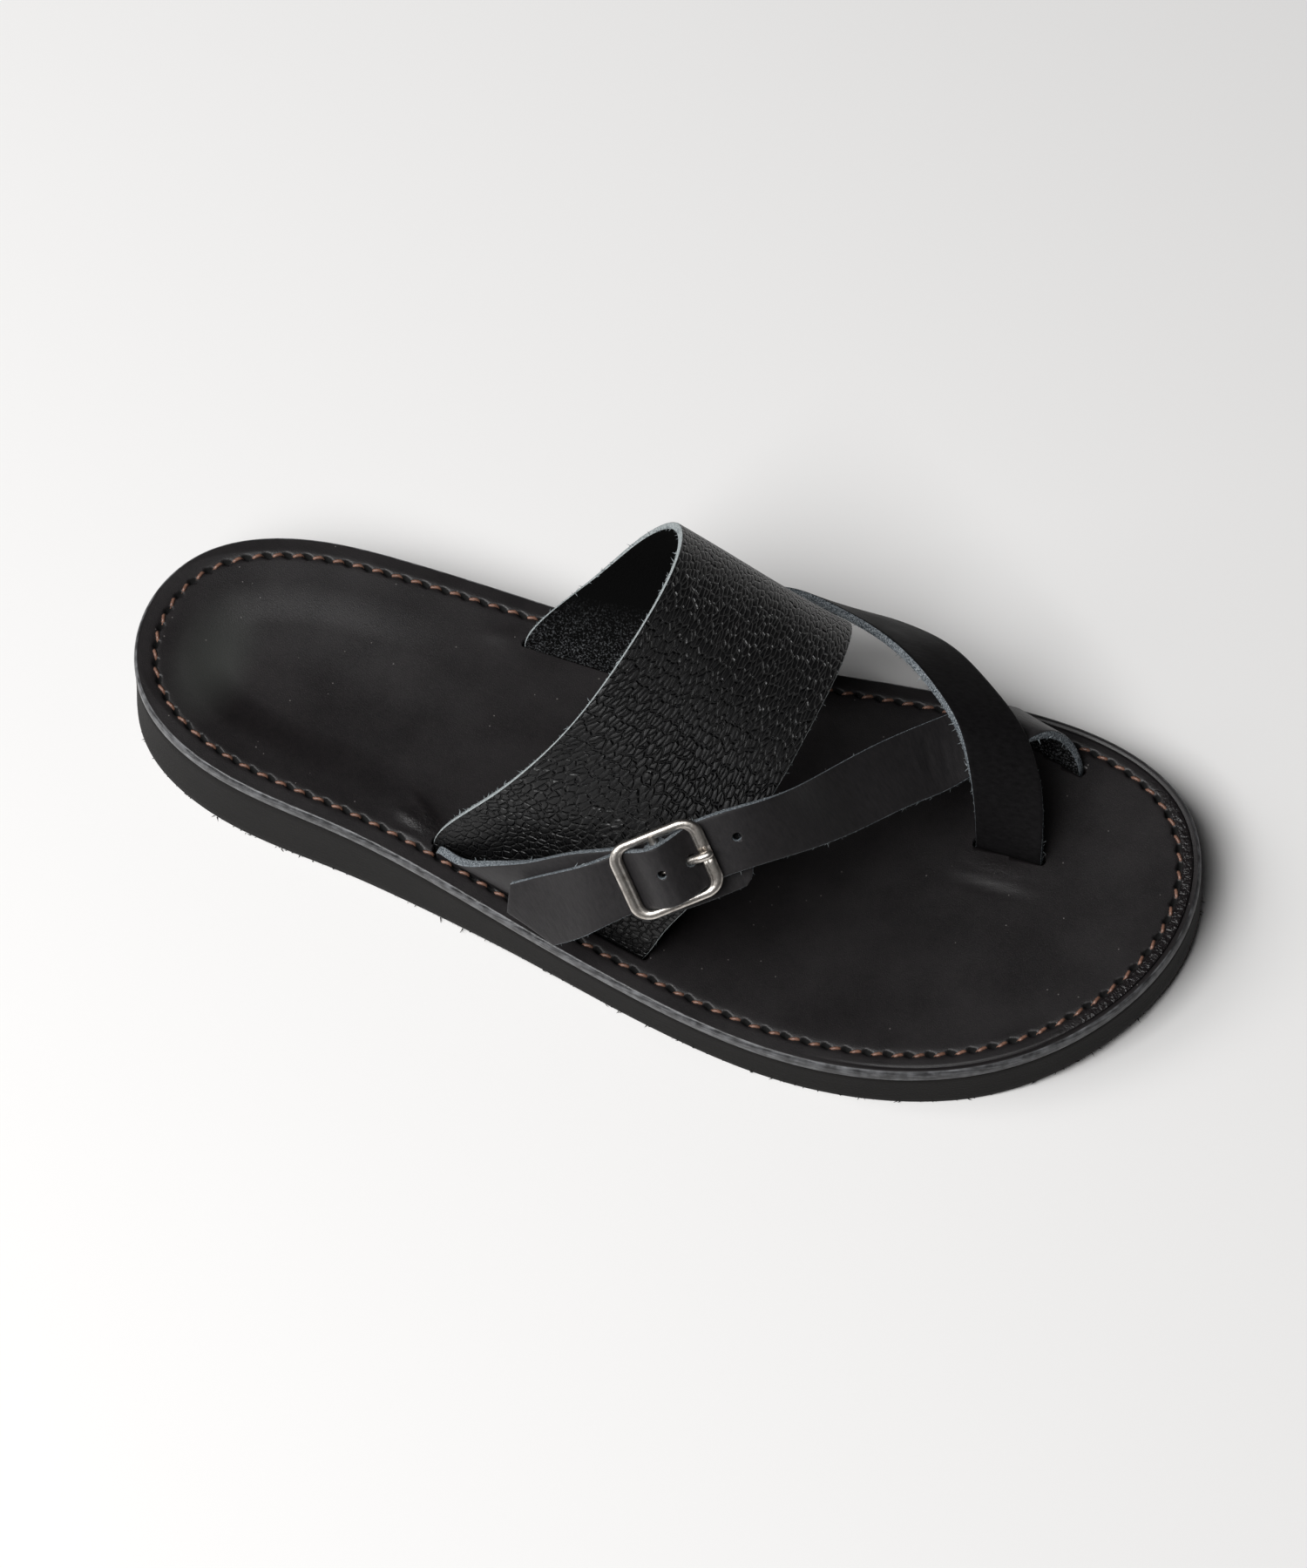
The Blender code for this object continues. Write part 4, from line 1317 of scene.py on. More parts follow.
@dataclass
class Ribbon:
    """Length of leather between a heelward and a toeward edge, with raw cut edges."""

    name: str
    plan: Plan
    folds: list
    thickness: float
    facing: Facing
    grain: Finish
    steps: tuple[int, int]  # faces along, faces across
    free_end: Rows = ((0.0, 0.0), (1.0, 0.0))  # share across, length that is cut off the end there
    free_reach: float = 16.0
    corner: float = 0.5
    corner_rows: Rows = ((0.0, 0.66), (0.3, 0.90), (1.0, 1.0))  # share of the corner, of the thickness
    edge: Finish = CUT_EDGE
    creases: tuple[Crease, ...] = ()
    waves: tuple[float, float] = (0.0, 30.0)  # height, length
    wave_slant: float = 0.09
    unfrayed_steps: int = 12  # faces along, from its start, whose corners don't fray

    def sheet(self) -> tuple[Array, Array, Array, Array]:
        """Work out the middle sheet.

        Returns:
            Grids of its points, of its outward directions, of its flat places and of its half thickness.
        """
        rows = np.array([np.asarray(fold, float) for fold in self.folds])
        knots = travelled((rows[:, :3] + rows[:, 3:]) / 2)
        length = knots[-1]
        width = float(np.linalg.norm(rows[:, :3] - rows[:, 3:], axis=1).mean())
        rounding, thinned = np.array(self.corner_rows).T
        stations = []
        for reach, steps in ((length, self.steps[0]), (width, self.steps[1])):
            inside = np.linspace(self.corner, reach - self.corner, steps - 3)
            near = rounding[1] * self.corner
            stations.append(np.concatenate([[0.0, near], inside, [reach - near, reach]]))
        along, across = stations
        share = across / width
        cut_off = np.interp(share, *zip(*self.free_end))
        ease = np.clip((along - length + self.free_reach) / self.free_reach, 0.0, 1.0)
        place = along[:, None] - ease[:, None] * cut_off[None, :]
        edges = cubic(knots, rows, place.ravel()).reshape(*place.shape, 6)
        grid = edges[..., :3] * (1 - share)[None, :, None] + edges[..., 3:] * share[None, :, None]
        out = np.cross(np.gradient(grid, axis=0), np.gradient(grid, axis=1)) * self.facing.value
        out /= np.linalg.norm(out, axis=2, keepdims=True)
        flat = np.stack([place, np.broadcast_to(across, place.shape)], axis=2)
        from_ends, from_sides = np.minimum(along, length - along), np.minimum(across, width - across)
        gap = np.minimum(from_ends[:, None], from_sides[None, :])
        half = self.thickness / 2 * np.interp(gap, rounding * self.corner, thinned)
        return grid, out, flat, half

    def relief(self, flat: Array) -> Array:
        """Work out creases and slow waves.

        Args:
            flat: Places on the flat hide.

        Returns:
            Height at each place.
        """
        height, pitch = self.waves
        lift = height * np.sin(flat[..., 0] * 2 * math.pi / pitch + self.wave_slant * flat[..., 1])
        for crease in self.creases:
            lift = lift + crease.lift(flat)
        return lift

    def build(self) -> Piece:
        """Make the ribbon with grain, flesh side and cut edges.

        Returns:
            A closed mesh object.
        """
        grid, out, flat, half = self.sheet()
        lift = self.relief(flat)
        outer = grid + out * (lift + half)[..., None]
        inner = grid + out * (lift - half)[..., None]
        along, across = grid.shape[0] - 1, grid.shape[1] - 1
        wide, back = across + 1, grid.shape[0] * grid.shape[1]
        faces, slots = [], []
        for i in range(along):
            for j in range(across):
                a = i * wide + j
                rim = i in (0, along - 1) or j in (0, across - 1)
                faces.append((a, a + 1, a + wide + 1, a + wide))
                slots.append(2 if rim else 0)
                faces.append((back + a, back + a + wide, back + a + wide + 1, back + a + 1))
                slots.append(2 if rim else 1)
        chain = [i * wide for i in range(along + 1)]
        chain += [along * wide + j for j in range(1, wide)]
        chain += [i * wide + across for i in range(along - 1, -1, -1)]
        chain += list(range(across - 1, 0, -1))
        faces += [(p, q, back + q, back + p) for p, q in zip(chain, chain[1:] + chain[:1])]
        slots += [2] * len(chain)
        points = np.concatenate([outer.reshape(-1, 3), inner.reshape(-1, 3)])
        hide = np.concatenate([flat.reshape(-1, 2)] * 2)
        finishes = [self.grain, FLESH, self.edge]
        return publish(self.name, points, faces, self.plan, finishes, slots, hide, sharp=50.0)

    def arrises(self) -> dict[str, Array]:
        """Find the inner corners of the cut edges and of the free end, which fray.

        Returns:
            Name of each corner to the points along it.
        """
        grid, out, _, half = self.sheet()
        inner = grid - out * half[..., None]
        start = self.unfrayed_steps
        return {"heelward": inner[start:, 0], "toeward": inner[start:, -1], "end": inner[-1, :]}


@dataclass
class Buckle:
    """Frame buckle with a centre bar and a prong, in its own axes along, across and out of the strap."""

    plan: Plan
    centre: Vector = Vector((24.8, -38.0, 58.2))
    run: Vector = Vector((0.78, 0.55, 0.30))
    cross: Vector = Vector((0.55, -0.50, -0.67))
    length: float = 23.4
    width: float = 20.2
    corner: float = 3.6
    bar_width: float = 3.2
    rail_width: float = 2.1
    thickness: float = 1.8
    frame_sides: int = 36
    frame_round: float = 0.8  # power of the section's rounding: 1 is an ellipse, less is squarer
    corner_steps: int = 14
    straight_steps: int = 24
    groove_depth: float = 0.30
    groove_inside: float = 0.55
    groove_width: float = 0.28
    centre_bar: float = 1.1
    centre_bar_sides: int = 24
    centre_bar_rings: int = 9
    half_hump: float = 10.3
    strap_dip: float = -2.7
    strap_hump: float = 4.6
    pad_top: float = -2.75
    pad_sag: float = 1.5
    tab_end: float = 18.0
    tab_drop: float = 1.0
    pad_aside: tuple[float, float] = (1.5, 3.0)  # sideways shift of the buckle strap, heelward and toeward
    wire: Rows = (  # place along, height, radius of the prong past its wrap
        (2.0, 1.50, 0.70),
        (4.4, 0.40, 0.90),
        (6.0, 0.45, 1.02),
        (7.4, 1.15, 1.06),
        (8.8, 1.70, 1.06),
        (10.6, 1.75, 1.02),
        (11.5, 1.60, 0.84),
        (11.9, 1.50, 0.45),
    )
    wire_sides: int = 20
    notch: tuple[float, float] = (1.5, 0.45)  # half width, depth of the prong's rest on the toeward bar
    wrap_radius: float = 1.75
    wrap_wire: float = 0.60
    wrap_degrees: tuple[int, int, int] = (230, 0, -15)  # start, end, step round the centre bar
    chape_spans: Rows = ((-7.0, -2.2), (2.2, 7.0))
    chape_radius: float = 2.5
    chape_gap: float = 0.15
    chape_waist: float = 0.75  # half width at the chape's foot, in its radius
    chape_sunk: float = 0.3
    chape_degrees: tuple[int, int, int] = (-45, 226, 15)  # start, end, step round the centre bar

    def __post_init__(self) -> None:
        """Work out the unit vectors."""
        self.a = self.run.normalized()
        self.n = self.cross.cross(self.a).normalized()
        self.w = self.a.cross(self.n).normalized()

    def point(self, along: float, across: float, out: float) -> Array:
        """Place in the buckle's axes, in millimetres of the plan."""
        return np.array(self.centre + self.a * along + self.w * across + self.n * out)

    def row(self, along: float, out: float, width: float, aside: float = 0.0) -> Array:
        """Row of a strap that lies square below or through the buckle."""
        sides = (aside - width / 2, aside + width / 2)
        return np.concatenate([self.point(along, across, out) for across in sides])

    def hump(self, along: float) -> float:
        """Height of the toe strap's middle over the centre bar and below both end bars."""
        middle = (self.strap_hump + self.strap_dip) / 2
        return middle + (self.strap_hump - middle) * math.cos(math.pi * along / self.half_hump)

    def pad(self, along: float) -> float:
        """Height of the buckle strap's middle below the buckle."""
        return self.pad_top - self.plan.strap_thickness / 2 - self.pad_sag * (along / self.half_hump) ** 2

    def tube(self, name: str, rings: list[list[Array]], closed: bool) -> Piece:
        """Metal body from rings of points, closed end to end or with flat ends."""
        faces = tube_faces(len(rings), len(rings[0]), closed)
        return publish(name, np.concatenate(rings), faces, self.plan, [NICKEL], sharp=75.0)

    def frame_line(self) -> list[tuple[Array, Array]]:
        """Work out the middle line of the frame.

        Returns:
            Places along and across, each with its direction away from the frame's middle.
        """
        half_a, half_w = (self.length - self.bar_width) / 2, (self.width - self.rail_width) / 2
        loop = []
        for quarter in range(4):
            sign_a = 1 if quarter in (0, 3) else -1
            sign_w = 1 if quarter in (0, 1) else -1
            centre = np.array((sign_a * (half_a - self.corner), sign_w * (half_w - self.corner)))
            for step in range(self.corner_steps + 1):
                turn = math.radians(90 * quarter + 90 * step / self.corner_steps)
                away = np.array((math.cos(turn), math.sin(turn)))
                loop.append((centre + self.corner * away, away))
        line = []
        for (place, away), (after, later) in zip(loop, loop[1:] + loop[:1]):
            steps = self.straight_steps if np.linalg.norm(after - place) > self.corner else 1
            for share in np.arange(steps) / steps:
                line.append((place + (after - place) * share, away + (later - away) * share))
        return line

    def build_frame(self) -> None:
        """Make the rounded frame with grooved end bars, and its centre bar."""
        notch_half, notch_depth = self.notch
        rings = []
        for (a, w), (away_a, away_w) in self.frame_line():
            end_bar = away_a ** 2
            width = self.rail_width + (self.bar_width - self.rail_width) * end_bar
            ring = []
            for turn in full_turn(self.frame_sides):
                cosine, sine = math.cos(turn), math.sin(turn)
                aside = math.copysign(abs(cosine) ** self.frame_round, cosine) * width / 2
                out = math.copysign(abs(sine) ** self.frame_round, sine) * self.thickness / 2
                in_groove = math.exp(-((aside + self.groove_inside) / self.groove_width) ** 2)
                groove = self.groove_depth * end_bar * in_groove
                if away_a > 0.5:
                    groove += notch_depth * math.exp(-(w / notch_half) ** 4)
                ring.append(self.point(a + away_a * aside, w + away_w * aside, out - groove * (sine > 0)))
            rings.append(ring)
        present(self.tube("buckle_loop", rings, True), "buckle_frame")
        half_w = (self.width - self.rail_width) / 2
        radius, turns = self.centre_bar, full_turn(self.centre_bar_sides)
        rings = []
        for across in np.linspace(-half_w, half_w, self.centre_bar_rings):
            rings.append([self.point(radius * math.cos(t), across, radius * math.sin(t)) for t in turns])
        present(self.tube("buckle_centre_bar", rings, False), "buckle_frame")

    def build_prong(self) -> None:
        """Make the wire that wraps the centre bar, comes up through the strap and lies on the toeward bar."""
        path, wrap = [], self.wrap_radius
        for turn in (math.radians(d) for d in range(*self.wrap_degrees)):
            path.append((wrap * math.cos(turn), wrap * math.sin(turn), self.wrap_wire))
        path += list(self.wire)
        centre = np.array([(a, n) for a, n, _ in path])
        heading = np.gradient(centre, axis=0)
        heading /= np.linalg.norm(heading, axis=1, keepdims=True)
        rings = []
        for (a, n, radius), (along, out) in zip(path, heading):
            ring = []
            for turn in full_turn(self.wire_sides):
                lift = radius * math.sin(turn)
                ring.append(self.point(a - out * lift, radius * math.cos(turn), n + along * lift))
            rings.append(ring)
        present(self.tube("buckle_tongue", rings, False), "buckle_prong")

    def build_chapes(self) -> None:
        """Make the two leather loops of the buckle strap round the centre bar."""
        inner, outer = self.centre_bar + self.chape_gap, self.chape_radius
        turns = [math.radians(d) for d in range(*self.chape_degrees)]
        foot, waist = self.pad_top - self.chape_sunk, self.chape_waist
        section = [(outer * math.cos(t), outer * math.sin(t)) for t in turns]
        section += [(-outer * waist, foot), (-inner * waist, foot)]
        section += [(inner * math.cos(t), inner * math.sin(t)) for t in reversed(turns)]
        section += [(inner * waist, foot), (outer * waist, foot)]
        points, faces = [], []
        for span in self.chape_spans:
            faces += tube_faces(2, len(section), first=len(points))
            points += [self.point(a, across, n) for across in span for a, n in section]
        made = publish("buckle_chapes", points, faces, self.plan, [CUT_EDGE], sharp=40.0)
        present(made, "upper")


@dataclass
class Upper:
    """Instep band, cross strap, toe strap and buckle strap."""

    plan: Plan
    buckle: Buckle
    band_lean: float = 1.3  # how far the front edge of its outer leg leans back in the slot
    buckle_strap_width: float = 19.0
    width_in_buckle: float = 15.2
    glued_overlap: float = 0.2
    band_folds: Rows = (  # heelward edge x, y, z, toeward edge x, y, z
        (-29.5, -29.0, 37.0, 24.5, -38.8, 28.5),
        (-19.5, -27.0, 53.0, 30.5, -36.0, 41.5),
        (-8.5, -19.0, 69.0, 36.5, -27.5, 53.0),
        (-0.5, -4.0, 80.5, 42.0, -12.0, 61.0),
        (3.5, 15.0, 84.5, 45.0, 8.0, 64.0),
        (2.5, 33.0, 80.0, 45.5, 27.0, 61.0),
        (-3.5, 44.0, 68.5, 43.0, 40.0, 52.5),
        (-13.0, 46.5, 53.0, 38.5, 44.5, 41.0),
        (-23.5, 41.0, 37.0, 32.5, 41.5, 28.5),
    )
    cross_strap_folds: Rows = (  # heelward edge x, y, z, toeward edge x, y, z
        (-21.5, 37.0, 23.5, 9.0, 43.0, 17.8),
        (-9.0, 44.5, 27.5, 14.0, 50.5, 22.5),
        (6.0, 49.5, 33.0, 22.5, 54.8, 26.0),
        (24.0, 52.5, 38.6, 35.5, 56.5, 29.3),
        (38.0, 49.5, 41.0, 49.0, 56.0, 32.0),
        (52.0, 44.0, 44.0, 63.0, 52.3, 35.8),
        (64.0, 36.5, 44.5, 76.5, 45.0, 36.4),
        (73.5, 29.0, 42.3, 88.0, 36.5, 34.4),
        (79.0, 22.5, 35.5, 95.0, 28.5, 29.8),
        (82.5, 18.0, 24.5, 99.0, 20.5, 21.5),
    )
    toe_strap_folds: Rows = (  # heelward edge x, y, z, toeward edge x, y, z
        (84.5, 48.2, 19.5, 99.5, 43.8, 19.0),
        (81.5, 46.5, 25.0, 96.0, 42.8, 26.0),
        (76.0, 40.5, 33.0, 90.5, 36.5, 32.5),
        (68.0, 31.8, 37.6, 79.0, 21.0, 32.2),
        (57.8, 16.6, 45.0, 70.2, 8.0, 37.4),
        (49.1, 0.5, 52.7, 61.5, -5.7, 43.6),
        (41.4, -16.0, 64.9, 51.8, -20.8, 53.3),
    )
    free_end_folds: Rows = (  # heelward edge x, y, z, toeward edge x, y, z
        (-3.0, -42.5, 46.5, 9.5, -52.0, 40.0),
        (-12.5, -44.5, 39.0, 1.5, -52.5, 31.0),
    )
    buckle_strap_folds: Rows = (  # heelward edge x, y, z, toeward edge x, y, z
        (-30.0, -37.0, 26.2, 6.0, -42.5, 21.5),
        (-20.5, -39.3, 34.5, 6.0, -45.5, 29.5),
        (-9.0, -39.3, 43.2, 9.5, -46.8, 39.2),
        (2.8, -37.5, 52.2, 15.9, -44.5, 45.3),
    )
    band_waves: tuple[float, float] = (0.16, 31.0)  # height, length
    cross_strap_waves: tuple[float, float] = (0.10, 23.0)  # height, length
    toe_strap_end: Rows = ((0.0, 0.5), (0.38, -6.2), (1.0, 0.6))  # share across, length cut off there
    toe_strap_creases: tuple[Crease, ...] = (
        Crease((50.0, 3.0), (52.5, 12.0), 1.1, -0.22),
        Crease((54.0, 4.0), (55.5, 11.0), 1.0, 0.18),
        Crease((46.0, 5.0), (47.5, 13.0), 1.0, -0.16),
    )
    tab_corner: Rows = ((0.0, 3.2), (0.07, 1.2), (0.16, 0.25), (0.26, 0.0))  # share across, length cut off
    tab_reach: float = 6.0
    rows_in_buckle: int = 9
    rows_below_buckle: int = 5
    reach_in_buckle: float = 4 / 3  # in half humps
    hole_radius: float = 1.05
    holes: Rows = (  # place along the buckle's run, across it
        (-0.5, -0.8),
        (18.0, -0.4),
    )
    prong_hole: tuple[float, float, float] = (6.6, 0.0, 1.35)  # along, across, radius
    punch_span: tuple[float, float] = (-2.3, 9.0)  # lowest and highest place of the punch
    punch_drop: float = 3.0  # how much lower it works where the strap is past the buckle
    punch_sides: int = 20

    def outside_band(self, slot: Slot) -> list[Array]:
        """Rows of a strap's end that is glued to the outside of the band in a slot."""
        aside = (self.plan.band_thickness + self.plan.strap_thickness) / 2 - self.glued_overlap
        return self.plan.leg(slot, self.plan.beside_band[slot], aside)

    def band(self) -> Ribbon:
        """Lay out the wide pebbled band over the instep.

        Returns:
            The ribbon.
        """
        outer, inner = self.plan.leg(Slot.OUTER), self.plan.leg(Slot.INNER)
        for row, share in zip(outer, np.linspace(1.0, 0.0, len(outer))):
            row[3] -= self.band_lean * share
        folds = outer + list(self.band_folds) + inner[::-1]
        return Ribbon("instep_band", self.plan, folds, self.plan.band_thickness, Facing.RIGHT_OF_RUN, PEBBLED,
                      steps=(180, 72), edge=BAND_EDGE, waves=self.band_waves)

    def cross_strap(self) -> Ribbon:
        """Lay out the strap that rises outside the band and goes down between the toes.

        Returns:
            The ribbon.
        """
        folds = self.outside_band(Slot.INNER) + list(self.cross_strap_folds)
        folds += self.plan.leg(Slot.BETWEEN_TOES)[::-1]
        return Ribbon("cross_strap", self.plan, folds, self.plan.strap_thickness, Facing.LEFT_OF_RUN, SHADED_STRAP,
                      steps=(200, 24), waves=self.cross_strap_waves)

    def toe_strap(self) -> Ribbon:
        """Lay out the strap from beside the big toe through the buckle to its pointed free end.

        Returns:
            The ribbon.
        """
        buckle = self.buckle
        folds = self.plan.leg(Slot.BIG_TOE_SIDE) + list(self.toe_strap_folds)
        reach = self.reach_in_buckle * buckle.half_hump
        for along in np.linspace(reach, -reach, self.rows_in_buckle):
            height = buckle.hump(min(abs(along), buckle.half_hump))
            folds.append(buckle.row(along, height, self.width_in_buckle))
        folds += list(self.free_end_folds)
        return Ribbon("toe_strap", self.plan, folds, self.plan.strap_thickness, Facing.LEFT_OF_RUN, STRAP,
                      steps=(300, 26), free_end=self.toe_strap_end, creases=self.toe_strap_creases)

    def buckle_strap(self) -> Ribbon:
        """Lay out the strap from the outer slot that passes below the buckle and ends in a round tab.

        Returns:
            The ribbon.
        """
        buckle, width = self.buckle, self.buckle_strap_width
        folds = self.outside_band(Slot.OUTER) + list(self.buckle_strap_folds)
        shifts = np.linspace(*buckle.pad_aside, self.rows_below_buckle)
        reach = np.linspace(-buckle.half_hump, buckle.half_hump, self.rows_below_buckle)
        for along, shift in zip(reach, shifts):
            folds.append(buckle.row(along, buckle.pad(along), width, shift))
        end = buckle.pad(buckle.half_hump) - buckle.tab_drop
        folds.append(buckle.row(buckle.tab_end, end, width, shifts[-1]))
        rounded = self.tab_corner + tuple((1 - share, length) for share, length in reversed(self.tab_corner))
        return Ribbon("buckle_strap", self.plan, folds, self.plan.strap_thickness, Facing.RIGHT_OF_RUN, STRAP,
                      steps=(140, 30), free_end=rounded, free_reach=self.tab_reach)

    def punch(self, made: Piece, along: float, across: float, radius: float) -> None:
        """Cut a round hole square to the buckle's run.

        Args:
            made: The strap.
            along: Place along the buckle's run.
            across: Place across it.
            radius: Radius of the hole.
        """
        drop = self.punch_drop if along > self.buckle.half_hump else 0.0
        points = []
        for out in self.punch_span:
            for turn in full_turn(self.punch_sides):
                a, w = along + radius * math.cos(turn), across + radius * math.sin(turn)
                points.append(self.buckle.point(a, w, out - drop))
        cut(made, publish("punch", points, tube_faces(2, self.punch_sides), self.plan, [CUT_EDGE]))

    def build(self) -> list[Ribbon]:
        """Make the four lengths of leather.

        Returns:
            Their ribbons.
        """
        ribbons = [self.band(), self.cross_strap(), self.toe_strap(), self.buckle_strap()]
        for ribbon in ribbons:
            made = ribbon.build()
            if ribbon.name == "toe_strap":
                for along, across in self.holes:
                    self.punch(made, along, across, self.hole_radius)
                self.punch(made, *self.prong_hole)
            present(made, "upper")
        return ribbons


# Small things that follow a line


class LineTool(Enum):
    """Ways in which small pieces follow a line."""

    EVEN = "small pieces in line"
    SCATTERED = "small pieces scattered"


def line_tree(tool: LineTool) -> Tree:
    """Build the Geometry Nodes tree that puts small pieces along a line.

    Args:
        tool: Even spacing with a slant, or a scatter with random turns and sizes.

    Returns:
        The tree, with named inputs.
    """
    tree = bpy.data.node_groups.new(tool.value, "GeometryNodeTree")
    face = tree.interface
    face.new_socket("Geometry", in_out="OUTPUT", socket_type="NodeSocketGeometry")
    for name, kind in (("Geometry", "Geometry"), ("Count", "Int"), ("Slant", "Float"), ("Share", "Float"),
                       ("Smallest", "Float"), ("Seed", "Int"), ("Piece", "Object"), ("Finish", "Material")):
        face.new_socket(name, in_out="INPUT", socket_type=f"NodeSocket{kind}")
    given = add_node(tree, "NodeGroupInput").outputs
    line = add_node(tree, "GeometryNodeResampleCurve", {"Curve": given["Geometry"], "Count": given["Count"]})
    piece = add_node(tree, "GeometryNodeObjectInfo", {"Object": given["Piece"]})
    spread = {"Points": line, "Instance": piece.outputs["Geometry"]}
    if tool is LineTool.EVEN:
        heading = add_node(tree, "GeometryNodeInputTangent")
        turn = add_node(tree, "FunctionNodeAlignRotationToVector", {
            "Vector": heading}, axis="X", pivot_axis="Z")
        placed = add_node(tree, "GeometryNodeInstanceOnPoints", {**spread, "Rotation": turn})
        slant = add_node(tree, "ShaderNodeCombineXYZ", {"Z": given["Slant"]})
        placed = add_node(tree, "GeometryNodeRotateInstances", {"Instances": placed, "Rotation": slant})
    else:
        keep = add_node(tree, "FunctionNodeRandomValue", {
            "Probability": given["Share"], "Seed": given["Seed"]}, data_type="BOOLEAN")
        turn = add_node(tree, "FunctionNodeRandomValue", {
            0: (-math.pi,) * 3, 1: (math.pi,) * 3, "Seed": given["Seed"]}, data_type="FLOAT_VECTOR")
        size = add_node(tree, "FunctionNodeRandomValue", {
            2: given["Smallest"], 3: 1.0, "Seed": given["Seed"]}, data_type="FLOAT")
        placed = add_node(tree, "GeometryNodeInstanceOnPoints", {
            **spread, "Selection": keep.outputs[3], "Rotation": turn, "Scale": size.outputs[1]})
    real = add_node(tree, "GeometryNodeRealizeInstances", {"Geometry": placed})
    done = add_node(tree, "GeometryNodeSetMaterial", {"Geometry": real, "Material": given["Finish"]})
    add_node(tree, "NodeGroupOutput", {"Geometry": done})
    return tree


def follow_line(name: str, plan: Plan, tree: Tree, points: Array, closed: bool, **inputs: object) -> Piece:
    """Put small pieces along a line and turn them into one plain mesh.

    Args:
        name: Name of the piece.
        plan: Gives the shift from the plan to the frame.
        tree: Tree from line_tree().
        points: Points of the line, in millimetres of the plan.
        closed: Whether the line's end meets its start.
        **inputs: Values of the tree's named inputs.

    Returns:
        The object with all the small pieces.
    """
    curve = bpy.data.curves.new(name, "CURVE")
    curve.dimensions = "3D"
    spline = curve.splines.new("POLY")
    spline.points.add(len(points) - 1)
    placed = (np.asarray(points) - plan.origin) * MM
    spline.points.foreach_set("co", np.column_stack([placed, np.ones(len(placed))]).ravel())
    spline.use_cyclic_u = closed
    carrier = add_object(name, curve)
    modifier = carrier.modifiers.new("line", "NODES")
    modifier.node_group = tree
    for item in tree.interface.items_tree:
        if item.item_type == "SOCKET" and item.in_out == "INPUT" and item.name in inputs:
            modifier[item.identifier] = inputs[item.name]
    mesh = plain_mesh(carrier)
    bpy.data.objects.remove(carrier, do_unlink=True)
    mesh.name = name
    mesh.shade_smooth()
    return add_object(name, mesh)


